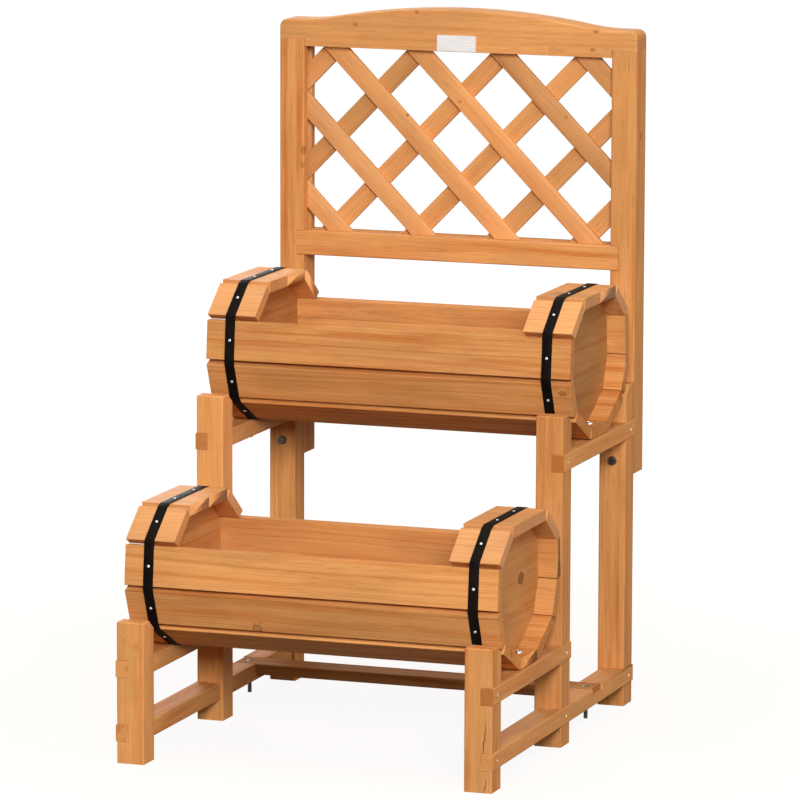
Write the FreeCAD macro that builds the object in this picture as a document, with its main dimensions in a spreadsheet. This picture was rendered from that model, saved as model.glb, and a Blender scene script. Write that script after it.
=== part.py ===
import FreeCAD, Part
import math
import os
import types

import Sketcher

# Two-tier wooden barrel planter with a lattice trellis at the back.
# Frame: X to the right, Y to the rear, Z up. The origin is the middle of the
# footprint, on the floor. Millimetres.
#
# Each row: name on the sheet, number, meaning.
SIZES = (
    # Stand posts
    ("stand_width", 520.0, "across the outer faces of the stand posts"),
    ("post_side", 38.0, "side of a square stand post"),
    ("post_rise", 51.5, "post above the top of its tier rail"),
    ("bevel_depth", 16.0, "depth of the bevel on a post top, beside the barrel"),
    ("bevel_drop", 12.0, "height of the same bevel"),
    ("post_ease", 2.0, "rounding of the post edges"),
    # Rails of the side frames
    ("rail_width", 35.0, "width of a rail, across the planter"),
    ("rail_height", 23.0, "height of a rail"),
    ("rail_proud", 1.5, "rail beyond the outer face of the posts"),
    ("rail_ease", 1.8, "rounding of the rail edges"),
    ("lower_rail_level", 52.0, "top of the lower side rails above the floor"),
    ("lower_tier_level", 138.0, "top of the rails that carry the lower barrel"),
    ("upper_tier_level", 395.0, "top of the rails that carry the upper barrel"),
    ("joint_gap", 0.2, "play at each side of a wood joint"),
    # Cross stretcher
    ("stretcher_depth", 44.0, "width of the stretcher, front to back"),
    ("stretcher_height", 15.0, "thickness of the stretcher"),
    ("stretcher_inset", 3.5, "stretcher end short of the outer face of the rail"),
    ("stretcher_lap", 8.5, "thickness left where the stretcher lies in the rail"),
    # Room for the barrels between the posts
    ("front_overhang", 13.5, "widest point of the lower barrel over the front posts"),
    ("mid_gap", 2.0, "lower barrel to the mid posts"),
    ("mid_overhang", 5.5, "widest point of the upper barrel over the mid posts"),
    ("rear_overhang", 15.5, "widest point of the upper barrel over the rear posts"),
    # Barrels
    ("barrel_inset", 1.5, "barrel end short of the outer face of the posts"),
    ("panel_half_depth", 116.0, "half the depth of an end panel"),
    ("panel_height", 165.5, "height of an end panel"),
    ("panel_thickness", 15.0, "thickness of an end panel"),
    ("panel_recess", 26.0, "end panel behind the ends of the staves"),
    ("stave_thickness", 15.0, "thickness of staves and short boards"),
    ("stave_ease", 1.0, "rounding of the stave edges"),
    ("seam_gap", 0.5, "gap between two neighbouring boards"),
    ("short_length", 68.5, "length of the boards that close the barrel ends"),
    ("drain_radius", 5.0, "radius of a drain hole"),
    # Straps and their nails
    ("strap_width", 14.0, "width of a strap"),
    ("strap_thickness", 1.0, "thickness of a strap"),
    ("nail_radius", 0.8, "radius of a strap nail"),
    ("nail_length", 25.0, "strap nail under its head"),
    ("nail_head_radius", 2.1, "radius of a nail head"),
    ("nail_head_height", 1.1, "height of a nail head"),
    ("nail_gap", 0.1, "play round nails and screws"),
    # Bolts
    ("bolt_radius", 3.0, "radius of every bolt"),
    ("bolt_gap", 0.25, "play round a bolt"),
    ("pan_head_radius", 5.0, "radius of a pan head"),
    ("pan_head_height", 3.4, "height of a pan head"),
    ("barrel_bolt_end", 8.0, "barrel bolt below its rail"),
    ("counterbore_gap", 0.7, "counterbore round a pan head"),
    ("counterbore_depth", 3.0, "counterbore in the stretcher"),
    ("floor_gap", 7.0, "stretcher bolt above the floor"),
    ("hex_radius", 5.8, "corner radius of hexagon heads and nuts"),
    ("hex_head_height", 4.0, "height of a hexagon head"),
    ("nut_height", 5.0, "height of a nut"),
    ("washer_radius", 6.2, "radius of a washer"),
    ("washer_thickness", 1.2, "thickness of a washer"),
    ("thread_end", 2.8, "trellis bolt beyond its nut"),
    ("trellis_bolt_edge", 24.0, "trellis bolts from the ends of the lapped posts"),
    # Screws that hold the rails to the posts
    ("screw_radius", 1.7, "radius of a frame screw"),
    ("screw_length", 30.0, "frame screw under its head"),
    ("screw_head_radius", 2.7, "radius of a screw head"),
    ("screw_head_height", 1.5, "height of a screw head"),
    ("screw_head_proud", 0.4, "screw head beyond the rail"),
    # Trellis frame
    ("trellis_inset", 1.0, "trellis post inside the outer face of the stand post"),
    ("trellis_width", 36.0, "width of a trellis post"),
    ("trellis_depth", 44.0, "depth of the trellis frame"),
    ("trellis_lap", 128.5, "trellis post below the top of the rear stand post"),
    ("trellis_length", 582.0, "length of a trellis post"),
    ("trellis_ease", 2.0, "rounding of the trellis edges"),
    ("top_notch", 10.0, "top rail over the ends of the trellis posts"),
    ("top_end_height", 37.0, "height of the top rail at its ends"),
    ("arch_rise", 20.5, "rise of the arch in the middle"),
    ("arch_shoulder", 22.0, "flat run between the rounded end and the arch"),
    ("corner_radius", 11.0, "radius of the top corners"),
    ("window_height", 257.5, "height of the lattice window"),
    ("bottom_rail_height", 34.0, "height of the bottom rail"),
    ("tongue_length", 12.0, "bottom rail let into the trellis post"),
    ("tongue_depth", 20.0, "depth of that tongue, from the front"),
    # Lattice
    ("slat_width", 26.0, "width of a lattice slat"),
    ("slat_thickness", 7.5, "thickness of a lattice slat"),
    ("slat_spacing", 121.5, "slats apart, along the top of the window"),
    ("slat_setback", 14.5, "front of the lattice behind the frame"),
    ("groove_depth", 8.0, "depth of the groove round the window"),
    ("groove_gap", 0.3, "play of the slats in the groove"),
    # Blank plate
    ("plate_width", 56.0, "width of the blank plate"),
    ("plate_height", 22.0, "height of the blank plate"),
    ("plate_thickness", 1.5, "thickness of the blank plate"),
    ("plate_corner", 1.2, "corner radius of the blank plate"),
    ("plate_raise", 0.8, "blank plate above the underside of the top rail"),
    # Cuts
    ("overrun", 6.0, "how far each cut runs past the piece"),
)

# Corners of an end panel from the top down to the bottom, on the front half:
# shares of the half depth and of the height.
PANEL_SHARES = (
    (0.586, 1.0),
    (0.957, 0.801),
    (1.0, 0.475),
    (0.836, 0.196),
    (0.293, 0.0),
)

# Part of the arch that is the wide middle curve
CREST_SHARE = 0.82
# A slat's run along the window for its fall
SLAT_SLOPE_SHARE = 0.97
# Drain holes along the bottom stave, as shares of the barrel's half length
DRAIN_SHARES = (-0.55, 0.0, 0.55)
# Top of a pan head against its base
CROWN_SHARE = 0.68

# The sides of a barrel, in the order of its corners
SIDES = (
    "front_shoulder",
    "front_upper_stave",
    "front_middle_stave",
    "front_lower_stave",
    "bottom_stave",
    "rear_lower_stave",
    "rear_middle_stave",
    "rear_upper_stave",
    "rear_shoulder",
    "top",
)
HANDS = (("left", -1), ("right", 1))


class Size:
    """A number together with the formula on the sheet that gives it."""

    def __init__(self, number, formula):
        self.number = number
        self.formula = formula

    def __add__(self, other):
        return Size(self.number + number(other), f"({self.formula} + {formula(other)})")

    def __radd__(self, other):
        return Size(number(other) + self.number, f"({formula(other)} + {self.formula})")

    def __sub__(self, other):
        return Size(self.number - number(other), f"({self.formula} - {formula(other)})")

    def __rsub__(self, other):
        return Size(number(other) - self.number, f"({formula(other)} - {self.formula})")

    def __mul__(self, other):
        return Size(self.number * number(other), f"({self.formula} * {formula(other)})")

    def __rmul__(self, other):
        return Size(number(other) * self.number, f"({formula(other)} * {self.formula})")

    def __truediv__(self, other):
        return Size(self.number / number(other), f"({self.formula} / {formula(other)})")

    def __neg__(self):
        return Size(-self.number, f"(0 - {self.formula})")


def number(value):
    return value.number if isinstance(value, Size) else float(value)


def formula(value):
    return value.formula if isinstance(value, Size) else repr(float(value))


def root(value):
    return Size(math.sqrt(value.number), f"sqrt({value.formula})")


def direction(across, up):
    """Angle in degrees of the run (across, up)."""
    angle = math.degrees(math.atan2(number(up), number(across)))
    return Size(angle, f"atan2({formula(up)}; {formula(across)})")


def bind(thing, prop, value):
    if isinstance(value, Size):
        thing.setExpression(prop, value.formula)


def place(thing, x=0, y=0, z=0):
    bind(thing, "Placement.Base.x", x)
    bind(thing, "Placement.Base.y", y)
    bind(thing, "Placement.Base.z", z)


# The document and its sheet of sizes
doc = FreeCAD.newDocument("BarrelPlanter")
sheet = doc.addObject("Spreadsheet::Sheet", "Sizes")
for row, (alias, amount, meaning) in enumerate(SIZES, 1):
    sheet.set(f"A{row}", alias)
    sheet.set(f"B{row}", str(amount))
    sheet.set(f"C{row}", meaning)
    sheet.setAlias(f"B{row}", alias)
doc.recompute()
size = types.SimpleNamespace(**{row[0]: Size(row[1], "Sizes." + row[0]) for row in SIZES})

# Finished sub-parts by node name
pieces = {}


def enlist(name, thing):
    """Names a finished sub-part that already stands in its place."""
    thing.Label = name
    pieces[name] = thing


def keep(name, thing, x=0, y=0, z=0):
    """Names a finished sub-part and puts it in its place."""
    enlist(name, thing)
    place(thing, x, y, z)
    return thing


# Solids

TURN_TO_SIDE = FreeCAD.Rotation(FreeCAD.Vector(1, 1, 1), 120)
ALONG_X = FreeCAD.Rotation(FreeCAD.Vector(0, 1, 0), 90)
AGAINST_X = FreeCAD.Rotation(FreeCAD.Vector(0, 1, 0), -90)
AGAINST_Y = FreeCAD.Rotation(FreeCAD.Vector(1, 0, 0), 90)
UPRIGHT = FreeCAD.Rotation()


def about_x(angle):
    return FreeCAD.Rotation(FreeCAD.Vector(1, 0, 0), number(angle))


def arc_between(start, end, radius, bulge):
    """Arc from start to end; bulge 1 swells to the right of the run, -1 to the left."""
    run = end - start
    right = FreeCAD.Vector(run.y, -run.x, 0).normalize()
    swell = radius - math.sqrt(radius ** 2 - (run.Length / 2) ** 2)
    middle = (start + end) / 2 + right * swell * bulge
    # A sketch keeps its arcs anticlockwise, so a hollow one is drawn from its end
    ends = (start, end) if bulge > 0 else (end, start)
    return Part.Arc(ends[0], middle, ends[1])


def draw_outline(sketch, corners, arcs=None):
    """Closed outline through the corners; arcs maps a corner to (radius, bulge)."""
    arcs = arcs or {}
    spots = [FreeCAD.Vector(number(across), number(up), 0) for across, up in corners]
    count = len(spots)
    for index, start in enumerate(spots):
        end = spots[(index + 1) % count]
        if index in arcs:
            radius, bulge = arcs[index]
            sketch.addGeometry(arc_between(start, end, number(radius), bulge), False)
        else:
            sketch.addGeometry(Part.LineSegment(start, end), False)
    first, last = [], []
    for start, drawn in zip(spots, sketch.Geometry):
        forward = (drawn.StartPoint - start).Length < (drawn.EndPoint - start).Length
        first.append(1 if forward else 2)
        last.append(2 if forward else 1)
    for index in range(count):
        after = (index + 1) % count
        sketch.addConstraint(
            Sketcher.Constraint("Coincident", index, last[index], after, first[after]))
    for index, spot in enumerate(corners):
        for kind, letter, value in (("DistanceX", "u", spot[0]), ("DistanceY", "v", spot[1])):
            constraint = sketch.addConstraint(
                Sketcher.Constraint(kind, -1, 1, index, first[index], number(value)))
            sketch.renameConstraint(constraint, f"{letter}{index}")
            bind(sketch, f"Constraints.{letter}{index}", value)
    for index, (radius, _) in arcs.items():
        constraint = sketch.addConstraint(Sketcher.Constraint("Radius", index, number(radius)))
        sketch.renameConstraint(constraint, f"r{index}")
        bind(sketch, f"Constraints.r{index}", radius)


def profile_body(name, role, corners, breadth, arcs=None):
    """Body of one outline on its own origin plane, as broad to both sides of it."""
    body = doc.addObject("PartDesign::Body", name)
    plane = [item for item in body.Origin.OriginFeatures if item.Role == role][0]
    sketch = body.newObject("Sketcher::SketchObject", name + "_outline")
    sketch.AttachmentSupport = [(plane, "")]
    sketch.MapMode = "FlatFace"
    draw_outline(sketch, corners, arcs)
    pad = body.newObject("PartDesign::Pad", name + "_pad")
    pad.Profile = sketch
    pad.SideType = "Symmetric"
    bind(pad, "Length", breadth)
    doc.recompute()
    return body


def rectangle(low, high, bottom, top):
    return ((low, bottom), (high, bottom), (high, top), (low, top))


def ease(body, radius, wanted):
    """Rounds the edges of the body so far that wanted accepts."""
    base = body.Tip
    names = [f"Edge{index}" for index, edge in enumerate(base.Shape.Edges, 1) if wanted(edge)]
    fillet = body.newObject("PartDesign::Fillet", body.Name + "_ease")
    fillet.Base = (base, names)
    bind(fillet, "Radius", radius)
    doc.recompute()


def runs_along(axis):
    """Test for straight edges along X (0), Y (1) or Z (2)."""
    def wanted(edge):
        return abs(edge.tangentAt(edge.FirstParameter)[axis]) > 0.999
    return wanted


def cut_box(body, name, x_ends, y_ends, z_ends):
    """Takes a box out of the body, each pair of ends in either order."""
    box = body.newObject("PartDesign::SubtractiveBox", name)
    spans = [sorted(ends, key=number) for ends in (x_ends, y_ends, z_ends)]
    for prop, (low, high) in zip(("Length", "Width", "Height"), spans):
        bind(box, prop, high - low)
    place(box, spans[0][0], spans[1][0], spans[2][0])


def drill(body, name, radius, depth, rotation, x=0, y=0, z=0):
    """Round hole from the point, along the rotated Z axis."""
    hole = body.newObject("PartDesign::SubtractiveCylinder", name)
    hole.Placement = FreeCAD.Placement(FreeCAD.Vector(), rotation)
    bind(hole, "Radius", radius)
    bind(hole, "Height", depth)
    place(hole, x, y, z)
    return hole


def primitive(kind, name, **values):
    thing = doc.addObject(kind, name)
    for prop, value in values.items():
        bind(thing, prop, value)
    return thing


def fused(name, base, tool):
    thing = doc.addObject("Part::Fuse", name)
    thing.Base = base
    thing.Tool = tool
    return thing


def fastener(name, head, radius, length):
    """Shank that hangs from the origin down, under a head that stands on it."""
    shank = primitive("Part::Cylinder", name + "_shank", Radius=radius, Height=length)
    place(shank, z=-length)
    return fused(name, head, shank)


def pan_head(name, radius, height):
    return primitive("Part::Cone", name, Radius1=radius, Radius2=radius * CROWN_SHARE,
                     Height=height)


def hexagon(name, height):
    prism = primitive("Part::Prism", name, Circumradius=size.hex_radius, Height=height)
    prism.Polygon = 6
    return prism


def copy_at(master, rotation, x=0, y=0, z=0):
    link = doc.addObject("App::Link", master.Name + "_at")
    link.LinkedObject = master
    link.Placement = FreeCAD.Placement(FreeCAD.Vector(), rotation)
    place(link, x, y, z)
    return link


def group(name, members):
    """Several solids that share one node."""
    thing = doc.addObject("Part::Compound", name)
    thing.Links = members
    return thing


# Places that several pieces share

barrel_half_depth = size.panel_half_depth + size.stave_thickness
lower_bay = 2 * barrel_half_depth - size.front_overhang + size.mid_gap
upper_bay = 2 * barrel_half_depth - size.mid_overhang - size.rear_overhang
nut_stack = size.washer_thickness + size.nut_height + size.thread_end
total_depth = 3 * size.post_side + lower_bay + upper_bay + size.trellis_depth + nut_stack

front_post_y = -total_depth / 2
mid_post_y = front_post_y + size.post_side + lower_bay
rear_post_y = mid_post_y + size.post_side + upper_bay
trellis_y = rear_post_y + size.post_side

lower_barrel_y = mid_post_y - size.mid_gap - barrel_half_depth
upper_barrel_y = rear_post_y + size.rear_overhang - barrel_half_depth
stretcher_y = mid_post_y + size.post_side + upper_bay / 2

post_x = (size.stand_width - size.post_side) / 2
rail_x = size.stand_width / 2 + size.rail_proud - size.rail_width / 2
# Rails and posts are each cut to this plane where they cross
lap_x = rail_x - post_x
bolt_hole = size.bolt_radius + size.bolt_gap
screw_hole = size.screw_radius + size.nail_gap
screw_bore = size.screw_head_radius + size.nail_gap

lower_height = size.lower_tier_level + size.post_rise
upper_height = size.upper_tier_level + size.post_rise

# Rails: name, top above the floor, front end, posts crossed
RAILS = (
    ("lower_rail", size.lower_rail_level, front_post_y, (front_post_y, mid_post_y, rear_post_y)),
    ("lower_tier_rail", size.lower_tier_level, front_post_y, (front_post_y, mid_post_y)),
    ("upper_tier_rail", size.upper_tier_level, mid_post_y, (mid_post_y, rear_post_y)),
)


def stand_post(name, hand, y, height, levels, bevel_side, bolt_levels=()):
    """Square post, bevelled at the top beside the barrel, notched for each rail."""
    half = size.post_side / 2
    bevel = bevel_side * (half - size.bevel_depth)
    corners = [
        (-bevel_side * half, 0),
        (bevel_side * half, 0),
        (bevel_side * half, height - size.bevel_drop),
        (bevel, height),
        (-bevel_side * half, height),
    ]
    body = profile_body(name, "YZ_Plane", corners, size.post_side)
    ease(body, size.post_ease, lambda edge: edge.BoundBox.ZMax > size.post_ease.number)
    for index, level in enumerate(levels):
        cut_box(body, f"{name}_notch{index}",
                (hand * lap_x, hand * (half + size.overrun)),
                (-half - size.overrun, half + size.overrun),
                (level - size.rail_height - size.joint_gap, level + size.joint_gap))
        drill(body, f"{name}_screw_hole{index}", screw_hole,
              size.overrun + size.screw_head_height + size.screw_length,
              AGAINST_X if hand > 0 else ALONG_X,
              x=hand * (half + size.rail_proud + size.overrun),
              z=level - size.rail_height / 2)
    for index, level in enumerate(bolt_levels):
        drill(body, f"{name}_bolt_hole{index}", bolt_hole, size.post_side + 2 * size.overrun,
              AGAINST_Y, y=half + size.overrun, z=level)
    keep(name, body, x=hand * post_x, y=y + half)


def side_rail(name, hand, level, y, crossed, bolt_y):
    """Rail let into the posts, with a bolt hole down through its middle line."""
    length = crossed[-1] + size.post_side - y
    half = size.rail_width / 2
    body = profile_body(name, "YZ_Plane", rectangle(0, length, 0, size.rail_height),
                        size.rail_width)
    ease(body, size.rail_ease, runs_along(1))
    for index, post_y in enumerate(crossed):
        start = post_y - y
        # The end posts are flush with the ends of the rail
        low = start - (size.overrun if index == 0 else size.joint_gap)
        high = start + size.post_side
        high = high + (size.overrun if index == len(crossed) - 1 else size.joint_gap)
        cut_box(body, f"{name}_lap{index}",
                (0, -hand * (half + size.overrun)), (low, high),
                (-size.overrun, size.rail_height + size.overrun))
        middle = start + size.post_side / 2
        inward = AGAINST_X if hand > 0 else ALONG_X
        drill(body, f"{name}_screw_hole{index}", screw_hole, size.rail_width, inward,
              x=hand * half, y=middle, z=size.rail_height / 2)
        drill(body, f"{name}_screw_bore{index}", screw_bore,
              size.overrun + size.screw_head_height - size.screw_head_proud, inward,
              x=hand * (half + size.overrun), y=middle, z=size.rail_height / 2)
    drill(body, name + "_bolt_hole", bolt_hole, size.rail_height + 2 * size.overrun, UPRIGHT,
          y=bolt_y - y, z=-size.overrun)
    keep(name, body, x=hand * rail_x, y=y, z=level - size.rail_height)
    return body


def side_frames():
    """Posts and rails at both sides of the planter."""
    trellis_bolt_levels = (
        upper_height - size.trellis_lap + size.trellis_bolt_edge,
        upper_height - size.trellis_bolt_edge,
    )
    lower, lower_tier, upper_tier = (rail[1] for rail in RAILS)
    bolt_places = (stretcher_y, lower_barrel_y, upper_barrel_y)
    for side, hand in HANDS:
        stand_post("front_post_" + side, hand, front_post_y, lower_height,
                   (lower, lower_tier), 1)
        stand_post("mid_post_" + side, hand, mid_post_y, upper_height,
                   (lower, lower_tier, upper_tier), 1)
        stand_post("rear_post_" + side, hand, rear_post_y, upper_height,
                   (lower, upper_tier), -1, trellis_bolt_levels)
        for (name, level, y, crossed), bolt_y in zip(RAILS, bolt_places):
            body = side_rail(f"{name}_{side}", hand, level, y, crossed, bolt_y)
            if name == "lower_rail":
                half = size.rail_width / 2 + size.overrun
                reach = size.stretcher_depth / 2 + size.joint_gap
                cut_box(body, body.Name + "_dado", (-half, half),
                        (bolt_y - y - reach, bolt_y - y + reach),
                        (size.rail_height - size.stretcher_lap, size.rail_height + size.overrun))


def cross_stretcher():
    """Flat board between the lower rails, its ends lapped over them."""
    half = size.stretcher_depth / 2
    reach = size.stand_width / 2 + size.rail_proud - size.stretcher_inset
    rail_inner = rail_x - size.rail_width / 2 - size.joint_gap
    body = profile_body("cross_stretcher", "YZ_Plane",
                        rectangle(-half, half, 0, size.stretcher_height), 2 * reach)
    ease(body, size.rail_ease, runs_along(0))
    for side, hand in HANDS:
        cut_box(body, "stretcher_lap_" + side,
                (hand * rail_inner, hand * (reach + size.overrun)),
                (-half - size.overrun, half + size.overrun),
                (-size.overrun, size.stretcher_height - size.stretcher_lap))
        drill(body, "stretcher_hole_" + side, bolt_hole,
              size.stretcher_height + 2 * size.overrun, UPRIGHT,
              x=hand * rail_x, z=-size.overrun)
        drill(body, "stretcher_bore_" + side, size.pan_head_radius + size.counterbore_gap,
              size.counterbore_depth + size.overrun, UPRIGHT,
              x=hand * rail_x, z=size.stretcher_height - size.counterbore_depth)
    keep("cross_stretcher", body, y=stretcher_y,
         z=size.lower_rail_level - size.stretcher_height)


# Barrel geometry, from the middle of the underside of the bottom stave

half_length = size.stand_width / 2 - size.barrel_inset
panel_x = half_length - size.panel_recess - size.panel_thickness / 2
front_corners = [
    (-size.panel_half_depth * depth_share,
     size.stave_thickness + size.panel_height * height_share)
    for depth_share, height_share in PANEL_SHARES
]
rear_corners = [(-y, z) for y, z in reversed(front_corners)]
barrel_corners = front_corners + rear_corners


class Side:
    """One side of the barrel, between two neighbouring corners."""

    def __init__(self, name, first, second):
        across = first[0] - second[0]
        up = first[1] - second[1]
        self.name = name
        self.first = first
        self.second = second
        self.length = root(across * across + up * up)
        self.angle = direction(across, up)
        self.outward = (-up / self.length, across / self.length)

    def point(self, along, out):
        """Point at a distance along the side from its second corner, moved outward."""
        along_y = self.outward[1] * along
        along_z = -self.outward[0] * along
        return (self.second[0] + along_y + self.outward[0] * out,
                self.second[1] + along_z + self.outward[1] * out)


barrel_sides = [
    Side(name, first, second)
    for name, first, second in zip(SIDES, barrel_corners, barrel_corners[1:] + barrel_corners[:1])
]


def nail_places():
    """One nail in the middle of each board, as (side, distance along it)."""
    for side in barrel_sides:
        if side.name == "top":
            yield side, side.length / 4
            yield side, side.length * 3 / 4
        else:
            yield side, side.length / 2


def mitre(side, following):
    """How far the outer face of a board runs on to meet that of the board that follows."""
    along = side.outward[0] * following.outward[0] + side.outward[1] * following.outward[1]
    across = side.outward[0] * following.outward[1] - side.outward[1] * following.outward[0]
    return size.stave_thickness * (1 - along) / across


# The outer face of a shoulder reaches that of the upper stave, whose own end is square
shoulder_reach = mitre(barrel_sides[0], barrel_sides[1])


def board(name, side, length, low, high, nail_xs, low_reach=0, high_reach=0):
    """Flat board on one side of the barrel, from low to high along its inner face."""
    start = low + size.seam_gap / 2
    end = high - size.seam_gap / 2
    corners = ((start, 0), (end, 0), (end + high_reach, size.stave_thickness),
               (start - low_reach, size.stave_thickness))
    body = profile_body(name, "YZ_Plane", corners, length)
    ease(body, size.stave_ease, runs_along(0))
    for index, x in enumerate(nail_xs):
        drill(body, f"{name}_nail_hole{index}", size.nail_radius + size.nail_gap,
              size.stave_thickness + 2 * size.overrun, UPRIGHT,
              x=x, y=(low + high) / 2, z=-size.overrun)
    return body


def set_on_side(thing, side, x, base_y, base_z):
    """Lays a board on its side of the barrel."""
    thing.Placement = FreeCAD.Placement(FreeCAD.Vector(), about_x(side.angle))
    place(thing, x, base_y + side.second[0], base_z + side.second[1])
    bind(thing, "Placement.Rotation.Angle", side.angle)


def full_stave(name, side, base_y, base_z):
    body = board(name, side, 2 * half_length, 0, side.length, (-panel_x, panel_x))
    if side.name == "bottom_stave":
        middle = side.length / 2
        through = size.stave_thickness + 2 * size.overrun
        for label, hand in HANDS:
            drill(body, f"{name}_bolt_hole_{label}", bolt_hole, through, UPRIGHT,
                  x=hand * rail_x, y=middle, z=-size.overrun)
        for index, share in enumerate(DRAIN_SHARES):
            drill(body, f"{name}_drain{index}", size.drain_radius, through, UPRIGHT,
                  x=half_length * share, y=middle, z=-size.overrun)
    set_on_side(body, side, 0, base_y, base_z)
    enlist(name, body)


def short_boards(name, side, hand, base_y, base_z):
    """Short board of a shoulder, or the two that meet in the middle of the top."""
    middle_x = hand * (half_length - size.short_length / 2)
    nail_x = hand * panel_x - middle_x
    if side.name == "top":
        halves = [(0, side.length / 2), (side.length / 2, side.length)]
        members = []
        for index, (low, high) in enumerate(halves):
            body = board(f"{name}_{index}", side, size.short_length, low, high, (nail_x,))
            set_on_side(body, side, middle_x, base_y, base_z)
            members.append(body)
        keep(name, group(name + "_group", members))
    else:
        low_reach = shoulder_reach if side.name == "front_shoulder" else 0
        high_reach = shoulder_reach if side.name == "rear_shoulder" else 0
        body = board(name, side, size.short_length, 0, side.length, (nail_x,),
                     low_reach, high_reach)
        set_on_side(body, side, middle_x, base_y, base_z)
        enlist(name, body)


def end_panel(name, hand, base_y, base_z):
    """Flat ten-sided panel, drilled at its edge for the strap nails."""
    body = profile_body(name, "YZ_Plane", barrel_corners, size.panel_thickness)
    for index, (side, along) in enumerate(nail_places()):
        # The hole starts inside the panel and comes out through its edge
        y, z = side.point(along, size.strap_thickness + size.stave_thickness - size.nail_length
                          - size.nail_gap)
        hole = drill(body, f"{name}_nail_hole{index}", size.nail_radius + size.nail_gap,
                     size.nail_length, about_x(side.angle), y=y, z=z)
        bind(hole, "Placement.Rotation.Angle", side.angle)
    keep(name, body, x=hand * panel_x, y=base_y, z=base_z)


def strap_ring():
    """Flat ring round the outer corners of the staves, and its nail holes."""
    hull = []
    for side in reversed(barrel_sides):
        # The upper ends of the upper staves lie on the way to the corners of the shoulders
        low = -shoulder_reach if side.name == "front_shoulder" else 0
        high = side.length + (shoulder_reach if side.name == "rear_shoulder" else 0)
        if side.name != "rear_upper_stave":
            hull.append(side.point(low, size.stave_thickness))
        if side.name != "front_upper_stave":
            hull.append(side.point(high, size.stave_thickness))
    sketch = doc.addObject("Sketcher::SketchObject", "strap_outline")
    sketch.Placement = FreeCAD.Placement(FreeCAD.Vector(), TURN_TO_SIDE)
    draw_outline(sketch, hull)
    band = doc.addObject("Part::Offset2D", "strap_band")
    band.Source = sketch
    band.Join = "Intersection"
    band.Fill = True
    bind(band, "Value", size.strap_thickness)
    ring = doc.addObject("Part::Extrusion", "strap_ring")
    ring.Base = band
    ring.DirMode = "Custom"
    ring.Dir = FreeCAD.Vector(1, 0, 0)
    ring.Symmetric = True
    ring.Solid = True
    bind(ring, "LengthFwd", size.strap_width)
    punch = primitive("Part::Cylinder", "strap_punch", Radius=size.nail_radius + size.nail_gap,
                      Height=size.stave_thickness)
    holes = []
    for side, along in nail_places():
        y, z = side.point(along, size.stave_thickness / 2)
        hole = copy_at(punch, about_x(side.angle), y=y, z=z)
        bind(hole, "Placement.Rotation.Angle", side.angle)
        holes.append(hole)
    return ring, group("strap_holes", holes)


def strap_nails():
    """Nails through both straps, round the barrel."""
    head = pan_head("nail_head", size.nail_head_radius, size.nail_head_height)
    nail = fastener("nail", head, size.nail_radius, size.nail_length)
    nails = []
    for _, hand in HANDS:
        for side, along in nail_places():
            y, z = side.point(along, size.stave_thickness + size.strap_thickness)
            link = copy_at(nail, about_x(side.angle), x=hand * panel_x, y=y, z=z)
            bind(link, "Placement.Rotation.Angle", side.angle)
            nails.append(link)
    return nails


def barrels():
    """Two like barrels, each on its pair of tier rails; only the straps touch the rails."""
    ring, holes = strap_ring()
    nails = strap_nails()
    places = (
        ("lower_barrel", lower_barrel_y, size.lower_tier_level + size.strap_thickness),
        ("upper_barrel", upper_barrel_y, size.upper_tier_level + size.strap_thickness),
    )
    for name, base_y, base_z in places:
        for side in barrel_sides:
            if side.name in ("front_shoulder", "rear_shoulder", "top"):
                for label, hand in HANDS:
                    short_boards(f"{name}_{side.name}_{label}", side, hand, base_y, base_z)
            else:
                full_stave(f"{name}_{side.name}", side, base_y, base_z)
        for label, hand in HANDS:
            end_panel(f"{name}_end_panel_{label}", hand, base_y, base_z)
            strap = doc.addObject("Part::Cut", f"{name}_strap_cut_{label}")
            strap.Base = ring
            strap.Tool = holes
            keep(f"{name}_strap_{label}", strap, x=hand * panel_x, y=base_y, z=base_z)
        keep(f"{name}_strap_nails", group(name + "_nail_group", nails), y=base_y, z=base_z)


# Trellis

trellis_x = (size.stand_width - size.trellis_width) / 2 - size.trellis_inset
trellis_foot = upper_height - size.trellis_lap
window_half = trellis_x - size.trellis_width / 2
window_top = trellis_foot + size.trellis_length - size.top_notch
window_foot = window_top - size.window_height
groove_front = size.slat_setback - size.groove_gap
groove_rear = size.slat_setback + 2 * size.slat_thickness + size.groove_gap


def trellis_post(name, hand):
    """Post with a groove for the slats and a mortise for the bottom rail."""
    half = size.trellis_width / 2
    body = profile_body(name, "YZ_Plane",
                        rectangle(0, size.trellis_depth, 0, size.trellis_length),
                        size.trellis_width)
    ease(body, size.trellis_ease, runs_along(2))
    inner = -hand * (half + size.overrun)
    low = window_foot - trellis_foot
    cut_box(body, name + "_groove", (inner, -hand * (half - size.groove_depth)),
            (groove_front, groove_rear),
            (low - size.groove_depth, low + size.window_height + size.groove_depth))
    cut_box(body, name + "_mortise", (inner, -hand * (half - size.tongue_length)),
            (-size.overrun, size.tongue_depth),
            (low - size.bottom_rail_height - size.joint_gap, low + size.joint_gap))
    for index, level in enumerate((size.trellis_bolt_edge,
                                   size.trellis_lap - size.trellis_bolt_edge)):
        drill(body, f"{name}_bolt_hole{index}", bolt_hole,
              size.trellis_depth + 2 * size.overrun, AGAINST_Y,
              y=size.trellis_depth + size.overrun, z=level)
    keep(name, body, x=hand * trellis_x, y=trellis_y, z=trellis_foot)


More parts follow.
